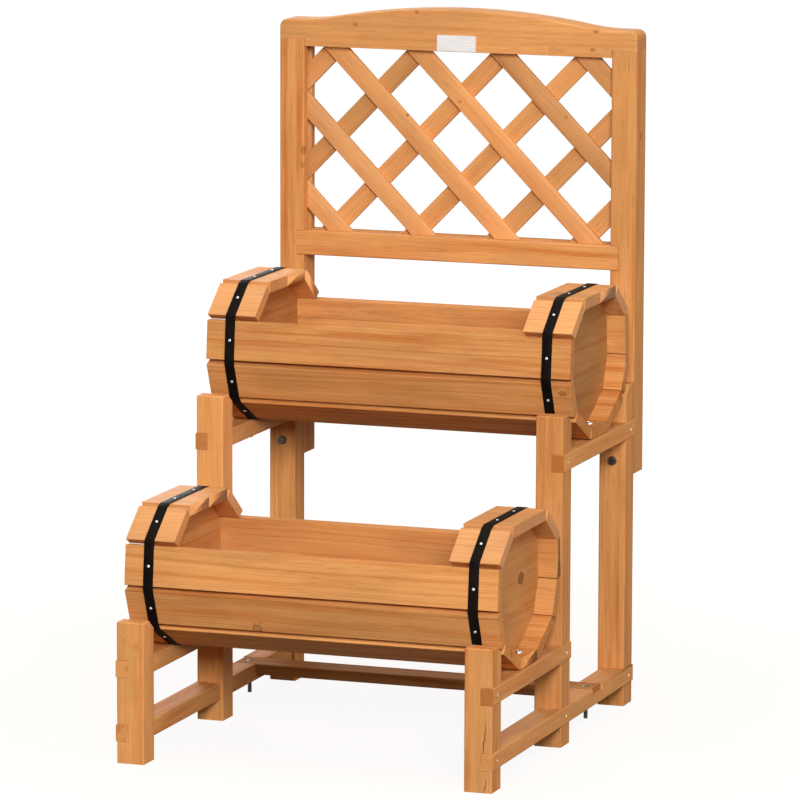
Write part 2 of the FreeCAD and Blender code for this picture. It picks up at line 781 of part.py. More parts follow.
def top_rail():
    """Rail with rounded ends, notched over the posts, rising to a flat arch."""
    ends = trellis_x + size.trellis_width / 2
    inner = window_half - size.joint_gap
    span = ends - size.corner_radius - size.arch_shoulder
    rise = size.arch_rise
    crest = size.top_end_height + rise
    radii = (span * span + rise * rise) / (2 * rise)
    turn = (CREST_SHARE * span, crest - CREST_SHARE * rise)
    right = [
        (inner, size.top_notch),
        (ends, size.top_notch),
        (ends, size.top_end_height - size.corner_radius),
        (ends - size.corner_radius, size.top_end_height),
        (span, size.top_end_height),
        turn,
    ]
    left = [(-x, z) for x, z in reversed(right)]
    corners = [(-inner, 0), (inner, 0)] + right + left
    arcs = {
        4: (size.corner_radius, 1),
        6: (radii * (1 - CREST_SHARE), -1),
        7: (radii * CREST_SHARE, 1),
        8: (radii * (1 - CREST_SHARE), -1),
        10: (size.corner_radius, 1),
    }
    body = profile_body("trellis_top_rail", "XZ_Plane", corners, size.trellis_depth, arcs)
    notch = size.top_notch.number

    def outer_edge(edge):
        across = abs(edge.tangentAt(edge.FirstParameter).y) > 0.5
        return edge.BoundBox.ZMax > notch + size.joint_gap.number and not across

    ease(body, size.trellis_ease, outer_edge)
    middle = size.trellis_depth / 2
    cut_box(body, "top_rail_groove", (-inner - size.overrun, inner + size.overrun),
            (groove_front - middle, groove_rear - middle), (-size.overrun, size.groove_depth))
    keep("trellis_top_rail", body, y=trellis_y + middle, z=window_top)


def bottom_rail():
    """Rail between the posts; the front of its ends runs into them."""
    reach = window_half + size.tongue_length
    body = profile_body("trellis_bottom_rail", "YZ_Plane",
                        rectangle(0, size.trellis_depth, 0, size.bottom_rail_height),
                        2 * (reach - size.joint_gap))
    ease(body, size.trellis_ease, runs_along(0))
    for label, hand in HANDS:
        cut_box(body, "tongue_" + label,
                (hand * (window_half - size.joint_gap), hand * (reach + size.overrun)),
                (size.tongue_depth - size.joint_gap, size.trellis_depth + size.overrun),
                (-size.overrun, size.bottom_rail_height + size.overrun))
    cut_box(body, "bottom_rail_groove", (-reach - size.overrun, reach + size.overrun),
            (groove_front, groove_rear),
            (size.bottom_rail_height - size.groove_depth,
             size.bottom_rail_height + size.overrun))
    keep("trellis_bottom_rail", body, y=trellis_y, z=window_foot - size.bottom_rail_height)


def lattice():
    """Two layers of slanting slats, cut to the window and the groove round it."""
    reach = window_half + size.groove_depth - size.groove_gap
    height = size.window_height + 2 * (size.groove_depth - size.groove_gap)
    field = primitive("Part::Box", "lattice_field", Length=2 * reach,
                      Width=size.trellis_depth, Height=height)
    place(field, x=-reach, y=trellis_y, z=window_foot - size.groove_depth + size.groove_gap)
    long_run = 2 * (window_half + size.window_height)
    widest = window_half.number
    lowest = -widest - SLAT_SLOPE_SHARE * size.window_height.number
    angle = math.atan(SLAT_SLOPE_SHARE)
    cosine, sine = math.cos(angle), math.sin(angle)
    for layer, (name, lean) in enumerate((("lattice_front_slats", -1), ("lattice_rear_slats", 1))):
        slats = []
        first = math.ceil(lowest / size.slat_spacing.number - 0.5)
        last = math.floor(widest / size.slat_spacing.number - 0.5)
        for step in range(first, last + 1):
            # The middle line of the slat meets the top of the window here
            x = (step + 0.5) * size.slat_spacing * -lean
            slat = primitive("Part::Box", f"{name}_{step - first}", Length=size.slat_width,
                             Width=size.slat_thickness, Height=long_run)
            slat.Placement = FreeCAD.Placement(
                FreeCAD.Vector(),
                FreeCAD.Rotation(FreeCAD.Vector(0, 1, 0), lean * math.degrees(angle)))
            # Corner of the box, from the middle line of the slat
            half = size.slat_width / 2
            run = long_run / 2
            place(slat, x=x - half * cosine - lean * run * sine,
                  y=trellis_y + size.slat_setback + layer * size.slat_thickness,
                  z=window_top + lean * half * sine - run * cosine)
            cut = doc.addObject("Part::Common", f"{name}_{step - first}_cut")
            cut.Base = slat
            cut.Tool = field
            slats.append(cut)
        keep(name, group(name + "_group", slats))


def blank_plate():
    """Small bare metal plate on the front of the top rail."""
    half = size.plate_width / 2
    body = profile_body("blank_plate", "XZ_Plane",
                        rectangle(-half, half, 0, size.plate_height), size.plate_thickness)
    ease(body, size.plate_corner, runs_along(1))
    keep("blank_plate", body, y=trellis_y - size.plate_thickness / 2,
         z=window_top + size.plate_raise)


# Fasteners

def stretcher_bolts():
    head_level = size.lower_rail_level - size.counterbore_depth
    head = pan_head("stretcher_bolt_head", size.pan_head_radius, size.pan_head_height)
    bolt = fastener("stretcher_bolt", head, size.bolt_radius, head_level - size.floor_gap)
    bolts = [copy_at(bolt, UPRIGHT, x=hand * rail_x) for _, hand in HANDS]
    keep("stretcher_bolts", group("stretcher_bolt_group", bolts), y=stretcher_y, z=head_level)


def barrel_bolts():
    """Bolts from inside the barrel ends, down through bottom stave and rail."""
    raised = size.strap_thickness + size.stave_thickness
    length = raised + size.rail_height + size.barrel_bolt_end
    head = pan_head("barrel_bolt_head", size.pan_head_radius, size.pan_head_height)
    bolt = fastener("barrel_bolt", head, size.bolt_radius, length)
    bolts = [
        copy_at(bolt, UPRIGHT, x=hand * rail_x, y=y, z=level + raised)
        for y, level in ((lower_barrel_y, size.lower_tier_level),
                         (upper_barrel_y, size.upper_tier_level))
        for _, hand in HANDS
    ]
    keep("barrel_bolts", group("barrel_bolt_group", bolts))


def trellis_bolts():
    """Bolts from the front of the rear posts through the trellis posts, with nuts."""
    grip = size.post_side + size.trellis_depth
    length = size.washer_thickness + grip + nut_stack
    bolt = fastener("trellis_bolt", hexagon("trellis_bolt_head", size.hex_head_height),
                    size.bolt_radius, length)
    bore = primitive("Part::Cylinder", "washer_bore", Radius=bolt_hole,
                     Height=size.washer_thickness + 2 * size.overrun)
    place(bore, z=-size.overrun)
    washer = doc.addObject("Part::Cut", "washer")
    washer.Base = primitive("Part::Cylinder", "washer_disc", Radius=size.washer_radius,
                            Height=size.washer_thickness)
    washer.Tool = bore
    thread = primitive("Part::Cylinder", "nut_thread", Radius=size.bolt_radius,
                       Height=size.nut_height + 2 * size.overrun)
    place(thread, z=-size.overrun)
    nut = doc.addObject("Part::Cut", "nut")
    nut.Base = hexagon("nut_blank", size.nut_height)
    nut.Tool = thread
    rear = trellis_y + size.trellis_depth
    members = []
    for _, hand in HANDS:
        for level in (trellis_foot + size.trellis_bolt_edge,
                      upper_height - size.trellis_bolt_edge):
            x = hand * post_x
            members.append(copy_at(washer, AGAINST_Y, x=x, y=rear_post_y, z=level))
            members.append(copy_at(bolt, AGAINST_Y, x=x,
                                   y=rear_post_y - size.washer_thickness, z=level))
            members.append(copy_at(washer, AGAINST_Y, x=x,
                                   y=rear + size.washer_thickness, z=level))
            members.append(copy_at(nut, AGAINST_Y, x=x,
                                   y=rear + size.washer_thickness + size.nut_height, z=level))
    keep("trellis_bolts", group("trellis_bolt_group", members))


def frame_screws():
    """Screws from the outer face of each rail into each post that it crosses."""
    head = pan_head("screw_head", size.screw_head_radius, size.screw_head_height)
    screw = fastener("screw", head, size.screw_radius, size.screw_length)
    seat = (size.stand_width / 2 + size.rail_proud
            - size.screw_head_height + size.screw_head_proud)
    screws = []
    for _, hand in HANDS:
        outward = ALONG_X if hand > 0 else AGAINST_X
        for _, level, _, crossed in RAILS:
            for y in crossed:
                screws.append(copy_at(screw, outward, x=hand * seat,
                                      y=y + size.post_side / 2,
                                      z=level - size.rail_height / 2))
    keep("frame_screws", group("frame_screw_group", screws))


side_frames()
cross_stretcher()
barrels()
for side, hand in HANDS:
    trellis_post("trellis_post_" + side, hand)
top_rail()
bottom_rail()
lattice()
blank_plate()
stretcher_bolts()
barrel_bolts()
trellis_bolts()
frame_screws()
doc.recompute()

# Every object must have come out whole before anything is written
for thing in doc.Objects:
    if "Invalid" in thing.State or "Error" in thing.State:
        raise RuntimeError(f"{thing.Name} is {thing.State}")
for name, thing in pieces.items():
    if thing.Shape.isNull() or not thing.Shape.isValid() or not thing.Shape.Solids:
        raise RuntimeError(f"{name} has no valid solid")

os.makedirs("parts", exist_ok=True)
for name, thing in pieces.items():
    thing.Shape.exportStep(f"parts/{name}.step")
print(len(pieces), "sub-parts,", sum(len(thing.Shape.Solids) for thing in pieces.values()), "solids")
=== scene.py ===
# %% [markdown]
# # A two-tier barrel planter in stained fir
#
# Two ten-sided barrels lie on a stepped stand of posts and rails, and a
# trellis with an arched top rail stands at the back. The shapes come from
# the CAD model. This lesson gives each piece the wood or metal it is made
# of, and makes the pieces that repeat, such as slats, screws and nails.

import math
import random

import bmesh
import bpy
import numpy as np
from mathutils import Euler, Matrix, Vector
from mathutils.geometry import convex_hull_2d


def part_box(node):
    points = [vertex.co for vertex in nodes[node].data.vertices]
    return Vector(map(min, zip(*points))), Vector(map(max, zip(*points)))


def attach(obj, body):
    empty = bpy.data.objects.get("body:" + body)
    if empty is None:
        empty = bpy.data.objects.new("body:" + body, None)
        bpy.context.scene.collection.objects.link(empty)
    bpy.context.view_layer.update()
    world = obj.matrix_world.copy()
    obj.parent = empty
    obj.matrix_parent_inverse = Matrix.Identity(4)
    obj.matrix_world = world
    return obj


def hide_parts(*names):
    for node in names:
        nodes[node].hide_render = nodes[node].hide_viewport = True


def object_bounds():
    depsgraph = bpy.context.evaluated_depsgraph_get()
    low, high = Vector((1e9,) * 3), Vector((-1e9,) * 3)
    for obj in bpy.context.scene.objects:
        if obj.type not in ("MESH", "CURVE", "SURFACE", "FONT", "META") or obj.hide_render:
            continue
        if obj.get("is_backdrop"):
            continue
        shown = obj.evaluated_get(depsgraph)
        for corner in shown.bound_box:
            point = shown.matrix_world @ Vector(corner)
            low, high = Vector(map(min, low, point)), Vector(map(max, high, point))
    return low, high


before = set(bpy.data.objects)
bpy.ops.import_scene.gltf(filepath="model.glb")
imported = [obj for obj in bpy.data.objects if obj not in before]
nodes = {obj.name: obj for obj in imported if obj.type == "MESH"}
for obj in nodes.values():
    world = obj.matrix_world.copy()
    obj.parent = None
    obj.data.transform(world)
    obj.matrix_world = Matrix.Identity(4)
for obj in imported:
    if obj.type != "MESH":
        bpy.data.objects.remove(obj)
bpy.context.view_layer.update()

# %% [markdown]
# ## The camera
#
# The planter is seen from its right, a little above, from far off with a
# long lens. The viewing direction, the distance and the small roll give
# three axes, and these are the columns of the camera's matrix. A matrix is
# used here because it says the whole placing at once, the roll too.

# %% Camera at the photograph's angle
AZIMUTH, ELEVATION, ROLL = math.radians(19.471), math.radians(9.288), math.radians(0.183)
DISTANCE, AIM = 7.879, Vector((0.0450, -0.0793, 0.4633))

back = Vector((math.sin(AZIMUTH) * math.cos(ELEVATION),
               -math.cos(AZIMUTH) * math.cos(ELEVATION),
               math.sin(ELEVATION)))
level = Vector((math.cos(AZIMUTH), math.sin(AZIMUTH), 0))
upright = back.cross(level)
right = math.cos(ROLL) * level + math.sin(ROLL) * upright
up = -math.sin(ROLL) * level + math.cos(ROLL) * upright


def new_object(name, data):
    """A new object, linked into the scene."""
    made = bpy.data.objects.new(name, data)
    bpy.context.scene.collection.objects.link(made)
    return made


camera = new_object("camera", bpy.data.cameras.new("camera"))
axes = Matrix((right, up, back)).transposed().to_4x4()
camera.matrix_world = Matrix.Translation(AIM + back * DISTANCE) @ axes
camera.data.lens, camera.data.sensor_width = 267.5, 36
camera.data.clip_end = 200
bpy.context.scene.camera = camera
print("camera at", [round(v, 3) for v in camera.location])

# %% [markdown]
# ## Colours and nodes
#
# Colours are written as the hex values that an eye or a picker reads, and
# one function turns them to the linear numbers that Cycles works with.
# Another adds a node with its settings and inputs, so that each material
# below reads as a list of what it is made of. The kinds of node that are
# used most have short names.

# %% Helpers for every material
MAPPING, NOISE, WHITE_NOISE = "ShaderNodeMapping", "ShaderNodeTexNoise", "ShaderNodeTexWhiteNoise"
MAP_RANGE, RAMP, MIX = "ShaderNodeMapRange", "ShaderNodeValToRGB", "ShaderNodeMix"
VECTOR_MATH, COMBINE, SEPARATE = "ShaderNodeVectorMath", "ShaderNodeCombineXYZ", "ShaderNodeSeparateXYZ"
GROUP, BSDF, OUTPUT = "ShaderNodeGroup", "ShaderNodeBsdfPrincipled", "ShaderNodeOutputMaterial"


def linear(code):
    """An sRGB hex colour as linear red, green, blue and alpha."""
    channels = [int(code[i:i + 2], 16) / 255 for i in (1, 3, 5)]
    return (*(c / 12.92 if c <= 0.04045 else ((c + 0.055) / 1.055) ** 2.4 for c in channels), 1.0)


def add(tree, kind, *inputs, **settings):
    """A new node. A kind in capitals is the operation of a Math node.

    The inputs come in order, or in one dictionary by name or number. Each is a
    value or what to link: a socket, a node for its first output, or a list of them.
    """
    if kind.isupper():
        kind, settings["operation"] = "ShaderNodeMath", kind
    made = tree.nodes.new(kind)
    # Settings come first, because a node's kind of data or group decides which inputs it has.
    for name, value in settings.items():
        setattr(made, name, value)
    named = inputs and isinstance(inputs[0], dict)
    for name, given in (inputs[0] if named else dict(enumerate(inputs))).items():
        for source in given if isinstance(given, list) else [given]:
            if isinstance(source, bpy.types.Node):
                source = next(output for output in source.outputs if output.enabled)
            if isinstance(source, bpy.types.NodeSocket):
                tree.links.new(source, made.inputs[name])
            else:
                made.inputs[name].default_value = source
    return made


def new_group(name, kind, inputs, outputs):
    """An empty node group, and the sockets that bring its inputs in. Names are listed by kind of data."""
    tree = bpy.data.node_groups.new(name, kind)
    for way, sockets in (("INPUT", inputs), ("OUTPUT", outputs)):
        for data, labels in sockets.items():
            for label in labels:
                tree.interface.new_socket(label, in_out=way, socket_type=f"NodeSocket{data}")
    return tree, add(tree, "NodeGroupInput").outputs


def empty_material(name):
    """A new material and its tree, without nodes."""
    material = bpy.data.materials.new(name)
    material.use_nodes = True
    material.node_tree.nodes.clear()
    return material, material.node_tree


def stops(ramp, *colours):
    """Sets a colour ramp's stops from pairs of position and colour."""
    elements = ramp.color_ramp.elements
    while len(elements) < len(colours):
        elements.new(1.0)
    for element, (position, colour) in zip(elements, colours):
        element.position, element.color = position, colour
    return ramp


def grey(level):
    return (level, level, level, 1)


# %% [markdown]
# ## Fir, grown in rings
#
# The boards are sawn fir, stained honey orange and sealed with a thin satin
# oil. A tree lays down one ring a year: pale wide earlywood and a thin
# darker band of latewood. Painting stripes on each face would not meet at
# the edges, so the pattern is grown in space instead. Each board gets the
# line of its tree's heart, and the distance from that line gives the rings.
# A cut along the tree then shows long stripes and arches, and a cut across
# it shows arcs, all from one rule. The stain hides much of the contrast, so
# most rings stay faint and only a few are strong.

# %% The growth rings as a node group
def growth_group():
    """Place in mm with the tree's heart along X, to colour, roughness and height."""
    tree, given = new_group("fir_growth", "ShaderNodeTree", {
        "Vector": ("Place", "Facing"),
        "Float": ("Ring Width", "Tone", "Warmth", "End Grain", "Swell", "Knot Heart", "Knot Rim", "Check"),
    }, {"Color": ("Colour",), "Float": ("Roughness", "Height")})
    place = given["Place"]

    def noise(length, breadth, detail, roughness):
        """Noise in marks of a length along the grain and a breadth across it, in mm."""
        size = add(tree, MAPPING, {"Vector": place, "Scale": (1 / length, 1 / breadth, 1 / breadth)})
        return add(tree, NOISE, {"Vector": size, "Scale": 1.0, "Detail": detail, "Roughness": roughness})

    # The trunk isn't a true cylinder: a slow wander of some 10 mm bends the rings.
    bend = add(tree, "MULTIPLY_ADD", noise(600, 90, 1.0, 0.4), 20.0, -10.0)
    # Fibres make each ring's edge uneven by a few tenths of a millimetre.
    fray = add(tree, "MULTIPLY_ADD", noise(60, 4, 2.0, 0.5), 1.6, -0.8)
    across = add(tree, VECTOR_MATH, place, (0, 1, 1), operation="MULTIPLY")
    radius = add(tree, VECTOR_MATH, across, operation="LENGTH")
    bent = add(tree, "ADD", radius, bend)
    frayed = add(tree, "ADD", bent, fray)
    swollen = add(tree, "ADD", frayed, given["Swell"])
    phase = add(tree, "DIVIDE", swollen, given["Ring Width"])
    # Good and bad years: the rings drift closer together and wider apart.
    years = add(tree, NOISE, {"W": phase, "Scale": 0.31, "Detail": 1.0}, noise_dimensions="1D")
    drift = add(tree, "MULTIPLY_ADD", years, 2.4, phase)
    year = add(tree, "FRACT", drift)
    number = add(tree, "FLOOR", drift)
    # Earlywood darkens slowly into latewood, then the next year starts sharply.
    season = stops(add(tree, RAMP, year),
                   (0.0, grey(0.70)), (0.12, grey(0.05)), (0.50, grey(0.15)), (0.88, grey(1.0)),
                   (1.0, grey(0.70)))
    luck = add(tree, WHITE_NOISE, {"W": number}, noise_dimensions="1D")
    rare = add(tree, "POWER", luck, 3.0)
    strength = add(tree, MAP_RANGE, {0: rare, 3: 0.14, 4: 0.62})
    late = add(tree, "MULTIPLY", season, strength)

    # Fibres: real ones are 0.03 mm wide, so they are drawn 1 mm wide to show at this distance.
    fibre = noise(70, 1.1, 2.0, 0.55)
    # Resin canals are short dark dashes. They are 0.2 mm wide, and drawn 1.2 mm wide to show.
    canal = noise(26, 1.2, 1.0, 0.4)
    dash = add(tree, MAP_RANGE, canal, 0.58, 0.74, 1.0, 0.82)
    # Stain is taken up unevenly, in long streaks some 12 mm wide and in broad pale patches.
    streak = noise(240, 12, 3.0, 0.55)
    patch = noise(120, 45, 2.0, 0.5)

    # Colour: earlywood to latewood, then red streaks, then fibres, patches and the board's tone.
    body = add(tree, MIX, {"Factor": late, "A": linear("#DB9B5D"), "B": linear("#B46D33")}, data_type="RGBA")
    red = add(tree, MAP_RANGE, streak, 0.46, 0.70, 0.0, 0.9)
    warm = add(tree, "MULTIPLY", red, given["Warmth"])
    flushed = add(tree, MIX, {"Factor": warm, "A": body, "B": linear("#C16A2B")}, data_type="RGBA")
    threads = add(tree, MAP_RANGE, fibre, 0.3, 0.7, 0.94, 1.05)
    cloud = add(tree, MAP_RANGE, patch, 0.3, 0.7, 0.90, 1.09)
    both = add(tree, "MULTIPLY", threads, cloud)
    lined = add(tree, "MULTIPLY", both, dash)
    light = add(tree, "MULTIPLY", lined, given["Tone"])
    toned = add(tree, VECTOR_MATH, {0: flushed, "Scale": light}, operation="SCALE")

    # End grain drinks more stain, so sawn ends are darker and redder.
    faces = add(tree, SEPARATE, given["Facing"])
    along = add(tree, "ABSOLUTE", faces)
    end = add(tree, MAP_RANGE, along, 0.72, 0.95, 0.0, given["End Grain"])
    ended = add(tree, MIX, {"Factor": end, "A": toned, "B": linear("#A35E2A")}, data_type="RGBA")
    # A knot is a branch cut through: brown wood with a dark rim of bark.
    hearted = add(tree, MIX, {"Factor": given["Knot Heart"], "A": ended, "B": linear("#8F5428")},
                  data_type="RGBA")
    rimmed = add(tree, MIX, {"Factor": given["Knot Rim"], "A": hearted, "B": linear("#4E2A12")},
                 data_type="RGBA")
    checked = add(tree, MIX, {"Factor": given["Check"], "A": rimmed, "B": linear("#4A230D")},
                  data_type="RGBA")

    # Latewood is harder and stands proud after sanding, and it shines a little more.
    gloss = add(tree, MAP_RANGE, {0: late, 3: 0.62, 4: 0.50})
    relief = add(tree, "MULTIPLY_ADD", late, 0.8, fibre)
    sunk = add(tree, "MULTIPLY_ADD", given["Check"], -5.0, relief)
    add(tree, "NodeGroupOutput", {"Colour": checked, "Roughness": gloss, "Height": sunk})
    return tree


FIR = growth_group()
print("fir group:", len(FIR.nodes), "nodes")

# %% [markdown]
# ## Knots
#
# Where a branch grew out of the trunk the board shows a knot, and the rings
# swell round it. The distance from the branch's line gives both: it pushes
# the rings outward close to the knot and marks its heart and its rim. A
# small knot from a thin branch has a soft edge, so how dark it is is an
# input.

# %% The knot as a node group
def knot_group():
    """Adds one knot to what the knots before it gave."""
    tree, given = new_group("fir_knot", "ShaderNodeTree", {
        "Vector": ("Place", "Centre", "Branch"),
        "Float": ("Radius", "Heart", "Rim", "Swell", "Knot Heart", "Knot Rim"),
    }, {"Float": ("Swell", "Knot Heart", "Knot Rim")})
    offset = add(tree, VECTOR_MATH, given["Place"], given["Centre"], operation="SUBTRACT")
    depth = add(tree, VECTOR_MATH, offset, given["Branch"], operation="DOT_PRODUCT")
    along = add(tree, VECTOR_MATH, {0: given["Branch"], "Scale": depth}, operation="SCALE")
    flat = add(tree, VECTOR_MATH, offset, along, operation="SUBTRACT")
    squeezed = add(tree, VECTOR_MATH, flat, (0.72, 1, 1), operation="MULTIPLY")
    away = add(tree, VECTOR_MATH, squeezed, operation="LENGTH")
    rough = add(tree, NOISE, {"Vector": given["Place"], "Scale": 0.22, "Detail": 2.0})
    wobble = add(tree, MAP_RANGE, {0: rough, 3: 0.72, 4: 1.28})
    far = add(tree, "MULTIPLY", away, wobble)
    plain = add(tree, "DIVIDE", far, given["Radius"])
    # A branch narrows toward the heart, so its knot closes some 15 mm below the face.
    deep = add(tree, "ABSOLUTE", depth)
    narrow = add(tree, MAP_RANGE, deep, 6.0, 15.0, 0.0, 3.5)
    share = add(tree, "ADD", plain, narrow)
    near = add(tree, MAP_RANGE, share, 0.0, 3.2, 1.0, 0.0, interpolation_type="SMOOTHERSTEP")
    push = add(tree, "MULTIPLY", near, given["Radius"])
    swell = add(tree, "MULTIPLY_ADD", push, -1.7, given["Swell"])
    inner = add(tree, MAP_RANGE, share, 0.75, 1.15, 0.85, 0.0, interpolation_type="SMOOTHSTEP")
    ring = stops(add(tree, RAMP, share),
                 (0.0, grey(0.45)), (0.22, grey(0.1)), (0.72, grey(0.15)), (0.92, grey(0.9)), (1.0, grey(0)))
    dark_heart = add(tree, "MULTIPLY", inner, given["Heart"])
    dark_rim = add(tree, "MULTIPLY", ring, given["Rim"])
    heart = add(tree, "MAXIMUM", dark_heart, given["Knot Heart"])
    rim = add(tree, "MAXIMUM", dark_rim, given["Knot Rim"])
    add(tree, "NodeGroupOutput", {"Swell": swell, "Knot Heart": heart, "Knot Rim": rim})
    return tree


KNOT = knot_group()
print("knot group:", len(KNOT.nodes), "nodes")

# %% [markdown]
# ## Drying checks
#
# A post dries from the outside in, and where its surface shrinks faster
# than its heart it splits along the grain. It could be cut into the mesh,
# but at half a millimetre wide, colour and bump show the same.

# %% The check as a node group
def check_group():
    """Marks one split along the grain: half its length and half its width in mm."""
    tree, given = new_group("fir_check", "ShaderNodeTree", {
        "Vector": ("Place", "Centre", "Across"),
        "Float": ("Half Length", "Half Width", "Lean", "Check"),
    }, {"Float": ("Check",)})
    offset = add(tree, VECTOR_MATH, given["Place"], given["Centre"], operation="SUBTRACT")
    parts = add(tree, SEPARATE, offset)
    aside = add(tree, VECTOR_MATH, offset, given["Across"], operation="DOT_PRODUCT")
    twist = add(tree, NOISE, {"W": parts, "Scale": 0.11, "Detail": 3.0, "Roughness": 0.6},
                noise_dimensions="1D")
    wander = add(tree, "MULTIPLY_ADD", twist, 5.0, -2.5)
    leaned = add(tree, "MULTIPLY_ADD", parts, given["Lean"], wander)
    apart = add(tree, "SUBTRACT", aside, leaned)
    off = add(tree, "ABSOLUTE", apart)
    way = add(tree, "DIVIDE", parts, given["Half Length"])
    reached = add(tree, "ABSOLUTE", way)
    open_ = add(tree, MAP_RANGE, reached, 0.1, 1.0, given["Half Width"], 0.0)
    split = add(tree, "SUBTRACT", off, open_)
    line = add(tree, MAP_RANGE, split, -0.25, 0.25, 0.9, 0.0)
    ends = add(tree, MAP_RANGE, reached, 0.9, 1.0, 1.0, 0.0)
    shown = add(tree, "MULTIPLY", line, ends)
    most = add(tree, "MAXIMUM", shown, given["Check"])
    add(tree, "NodeGroupOutput", {"Check": most})
    return tree


CHECK = check_group()
print("check group:", len(CHECK.nodes), "nodes")

# %% [markdown]
# ## One board's material
#
# Every board comes from its own place in a tree, so each gets a material
# with its own heart line, ring width and tone. A Mapping node turns the
# board so that its length lies along X and measures in millimetres, which
# makes every number in the groups above a real size.

# %% A material for a board
MM = 1000  # in a metre
TURNS = {"X": Euler((0, 0, 0)), "Y": Euler((0, 0, -math.pi / 2)), "Z": Euler((0, math.pi / 2, 0))}


def fir(name, turn, heart, ring=3.5, tone=1.0, warmth=0.5, ends=0.4, oil=0.08, knots=(), checks=(),
        pitch=None):
    """A board's fir. heart and the knots' places are in mm in the planter's own frame.

    turn lays the board's length along X. oil is how much of the oil's gloss shows, 0.5 being all of it.
    pitch is the step between boards that share the material.
    """
    turned, heart = turn.to_matrix(), Vector(heart)
    material, tree = empty_material(name)
    where = add(tree, "ShaderNodeTexCoord").outputs
    place = add(tree, MAPPING,
                {"Vector": where["Object"], "Scale": (MM, MM, MM), "Rotation": turn,
                 "Location": -(turned @ heart)})
    facing = add(tree, MAPPING, {"Vector": where["Normal"], "Rotation": turn}, vector_type="VECTOR")
    board = {"Place": place, "Facing": facing, "Ring Width": ring, "Tone": tone, "Warmth": warmth,
             "End Grain": ends}
    if pitch:
        # Boards side by side share this material: each band across them is another board.
        band = add(tree, "DIVIDE", add(tree, SEPARATE, place).outputs[2], pitch)
        dice = add(tree, WHITE_NOISE, {"W": add(tree, "ROUND", band)}, noise_dimensions="1D").outputs
        moved = add(tree, VECTOR_MATH, dice["Color"], (900, 60, 50), (0, 35, 10), operation="MULTIPLY_ADD")
        shades = add(tree, SEPARATE, dice["Color"])
        board["Place"] = add(tree, VECTOR_MATH, place, moved, operation="ADD")
        board["Tone"] = add(tree, MAP_RANGE, {0: dice["Value"], 3: tone - 0.10, 4: tone + 0.10})
        board["Warmth"] = add(tree, MAP_RANGE, {0: shades.outputs[2], 3: 0.0, 4: 2 * warmth})
    # Knots and checks stand in a row, and each adds its mark to the marks before it.
    marks = {}
    for centre, branch, radius, middle, rim in knots:
        knot = add(tree, GROUP, {"Place": place, "Centre": turned @ (Vector(centre) - heart),
                                 "Branch": (turned @ Vector(branch)).normalized(),
                                 "Radius": radius, "Heart": middle, "Rim": rim, **marks}, node_tree=KNOT)
        marks = dict(knot.outputs.items())
    splits = {}
    for centre, across, half_length, half_width, lean in checks:
        check = add(tree, GROUP, {"Place": place, "Centre": turned @ (Vector(centre) - heart),
                                  "Across": (turned @ Vector(across)).normalized(), "Lean": lean,
                                  "Half Length": half_length, "Half Width": half_width, **splits},
                    node_tree=CHECK)
        splits = dict(check.outputs.items())
    grown = add(tree, GROUP, {**board, **marks, **splits}, node_tree=FIR).outputs
    relief = add(tree, "ShaderNodeBump", {"Height": grown["Height"], "Strength": 0.3, "Distance": 0.0002})
    # Oiled wood has the IOR of oil, 1.47, but its open pores give only part of that gloss.
    shader = add(tree, BSDF,
                 {"Base Color": grown["Colour"], "Roughness": grown["Roughness"], "Normal": relief,
                  "IOR": 1.47, "Specular IOR Level": oil})
    add(tree, OUTPUT, {"Surface": shader})
    return material


# %% [markdown]
# ## Eased edges
#
# A planed board has no knife edges: each is broken with a stroke of
# sandpaper. The half millimetre catches the light, and where two boards
# meet it leaves a fine groove that shows as a seam. A bevel on the CAD
# board would do, but a CAD mesh is loose triangles. So a copy is merged, its
# flat faces are joined, and only its long sharp edges are bevelled, not
# the rims of its bores.

# %% A board with broken edges
EDGE_RADIUS, LONG_EDGE, SHARP_EDGE = 0.0006, 0.008, math.radians(50)


def eased(node, material, slot):
    """A copy of a CAD board with its long edges broken, which stands for it."""
    board = bmesh.new()
    board.from_mesh(nodes[node].data)
    bmesh.ops.remove_doubles(board, verts=board.verts, dist=1e-6)
    bmesh.ops.dissolve_limit(board, angle_limit=math.radians(0.2), verts=board.verts, edges=board.edges)
    bmesh.ops.recalc_face_normals(board, faces=board.faces)
    sharp = [edge for edge in board.edges if edge.is_manifold and edge.is_convex
             and edge.calc_length() > LONG_EDGE and edge.calc_face_angle() > SHARP_EDGE]
    before = board.calc_volume()
    bmesh.ops.bevel(board, geom=sharp, offset=EDGE_RADIUS, offset_type="OFFSET", segments=2, profile=0.5,
                    affect="EDGES", clamp_overlap=False)
    kept = board.calc_volume() / before
    mesh = bpy.data.meshes.new(f"eased_{node}")
    board.to_mesh(mesh)
    board.free()
    mesh.materials.append(material)
    piece = new_object(f"eased_{node}", mesh)
    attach(piece, "root")
    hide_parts(node)
    return len(sharp), kept


def slot_of(node):
    """The record's material slot for a wooden piece."""
    if node.startswith("trellis"):
        return "trellis_fir"
    if "end_panel" in node:
        return "panel_fir"
    return "stave_fir" if "barrel" in node else "stand_fir"


# %% [markdown]
# ## Which way the grain runs
#
# Posts have their grain upright, side rails run front to back, and the
# staves, the stretcher and the trellis rails run from side to side. The
# heart of the tree lies some centimetres outside most boards, because thin
# boards are sawn from the side of a log.

# %% Knots and checks, by board
FRONT, RIGHT = (0, 1, 0.15), (1, 0, 0.1)
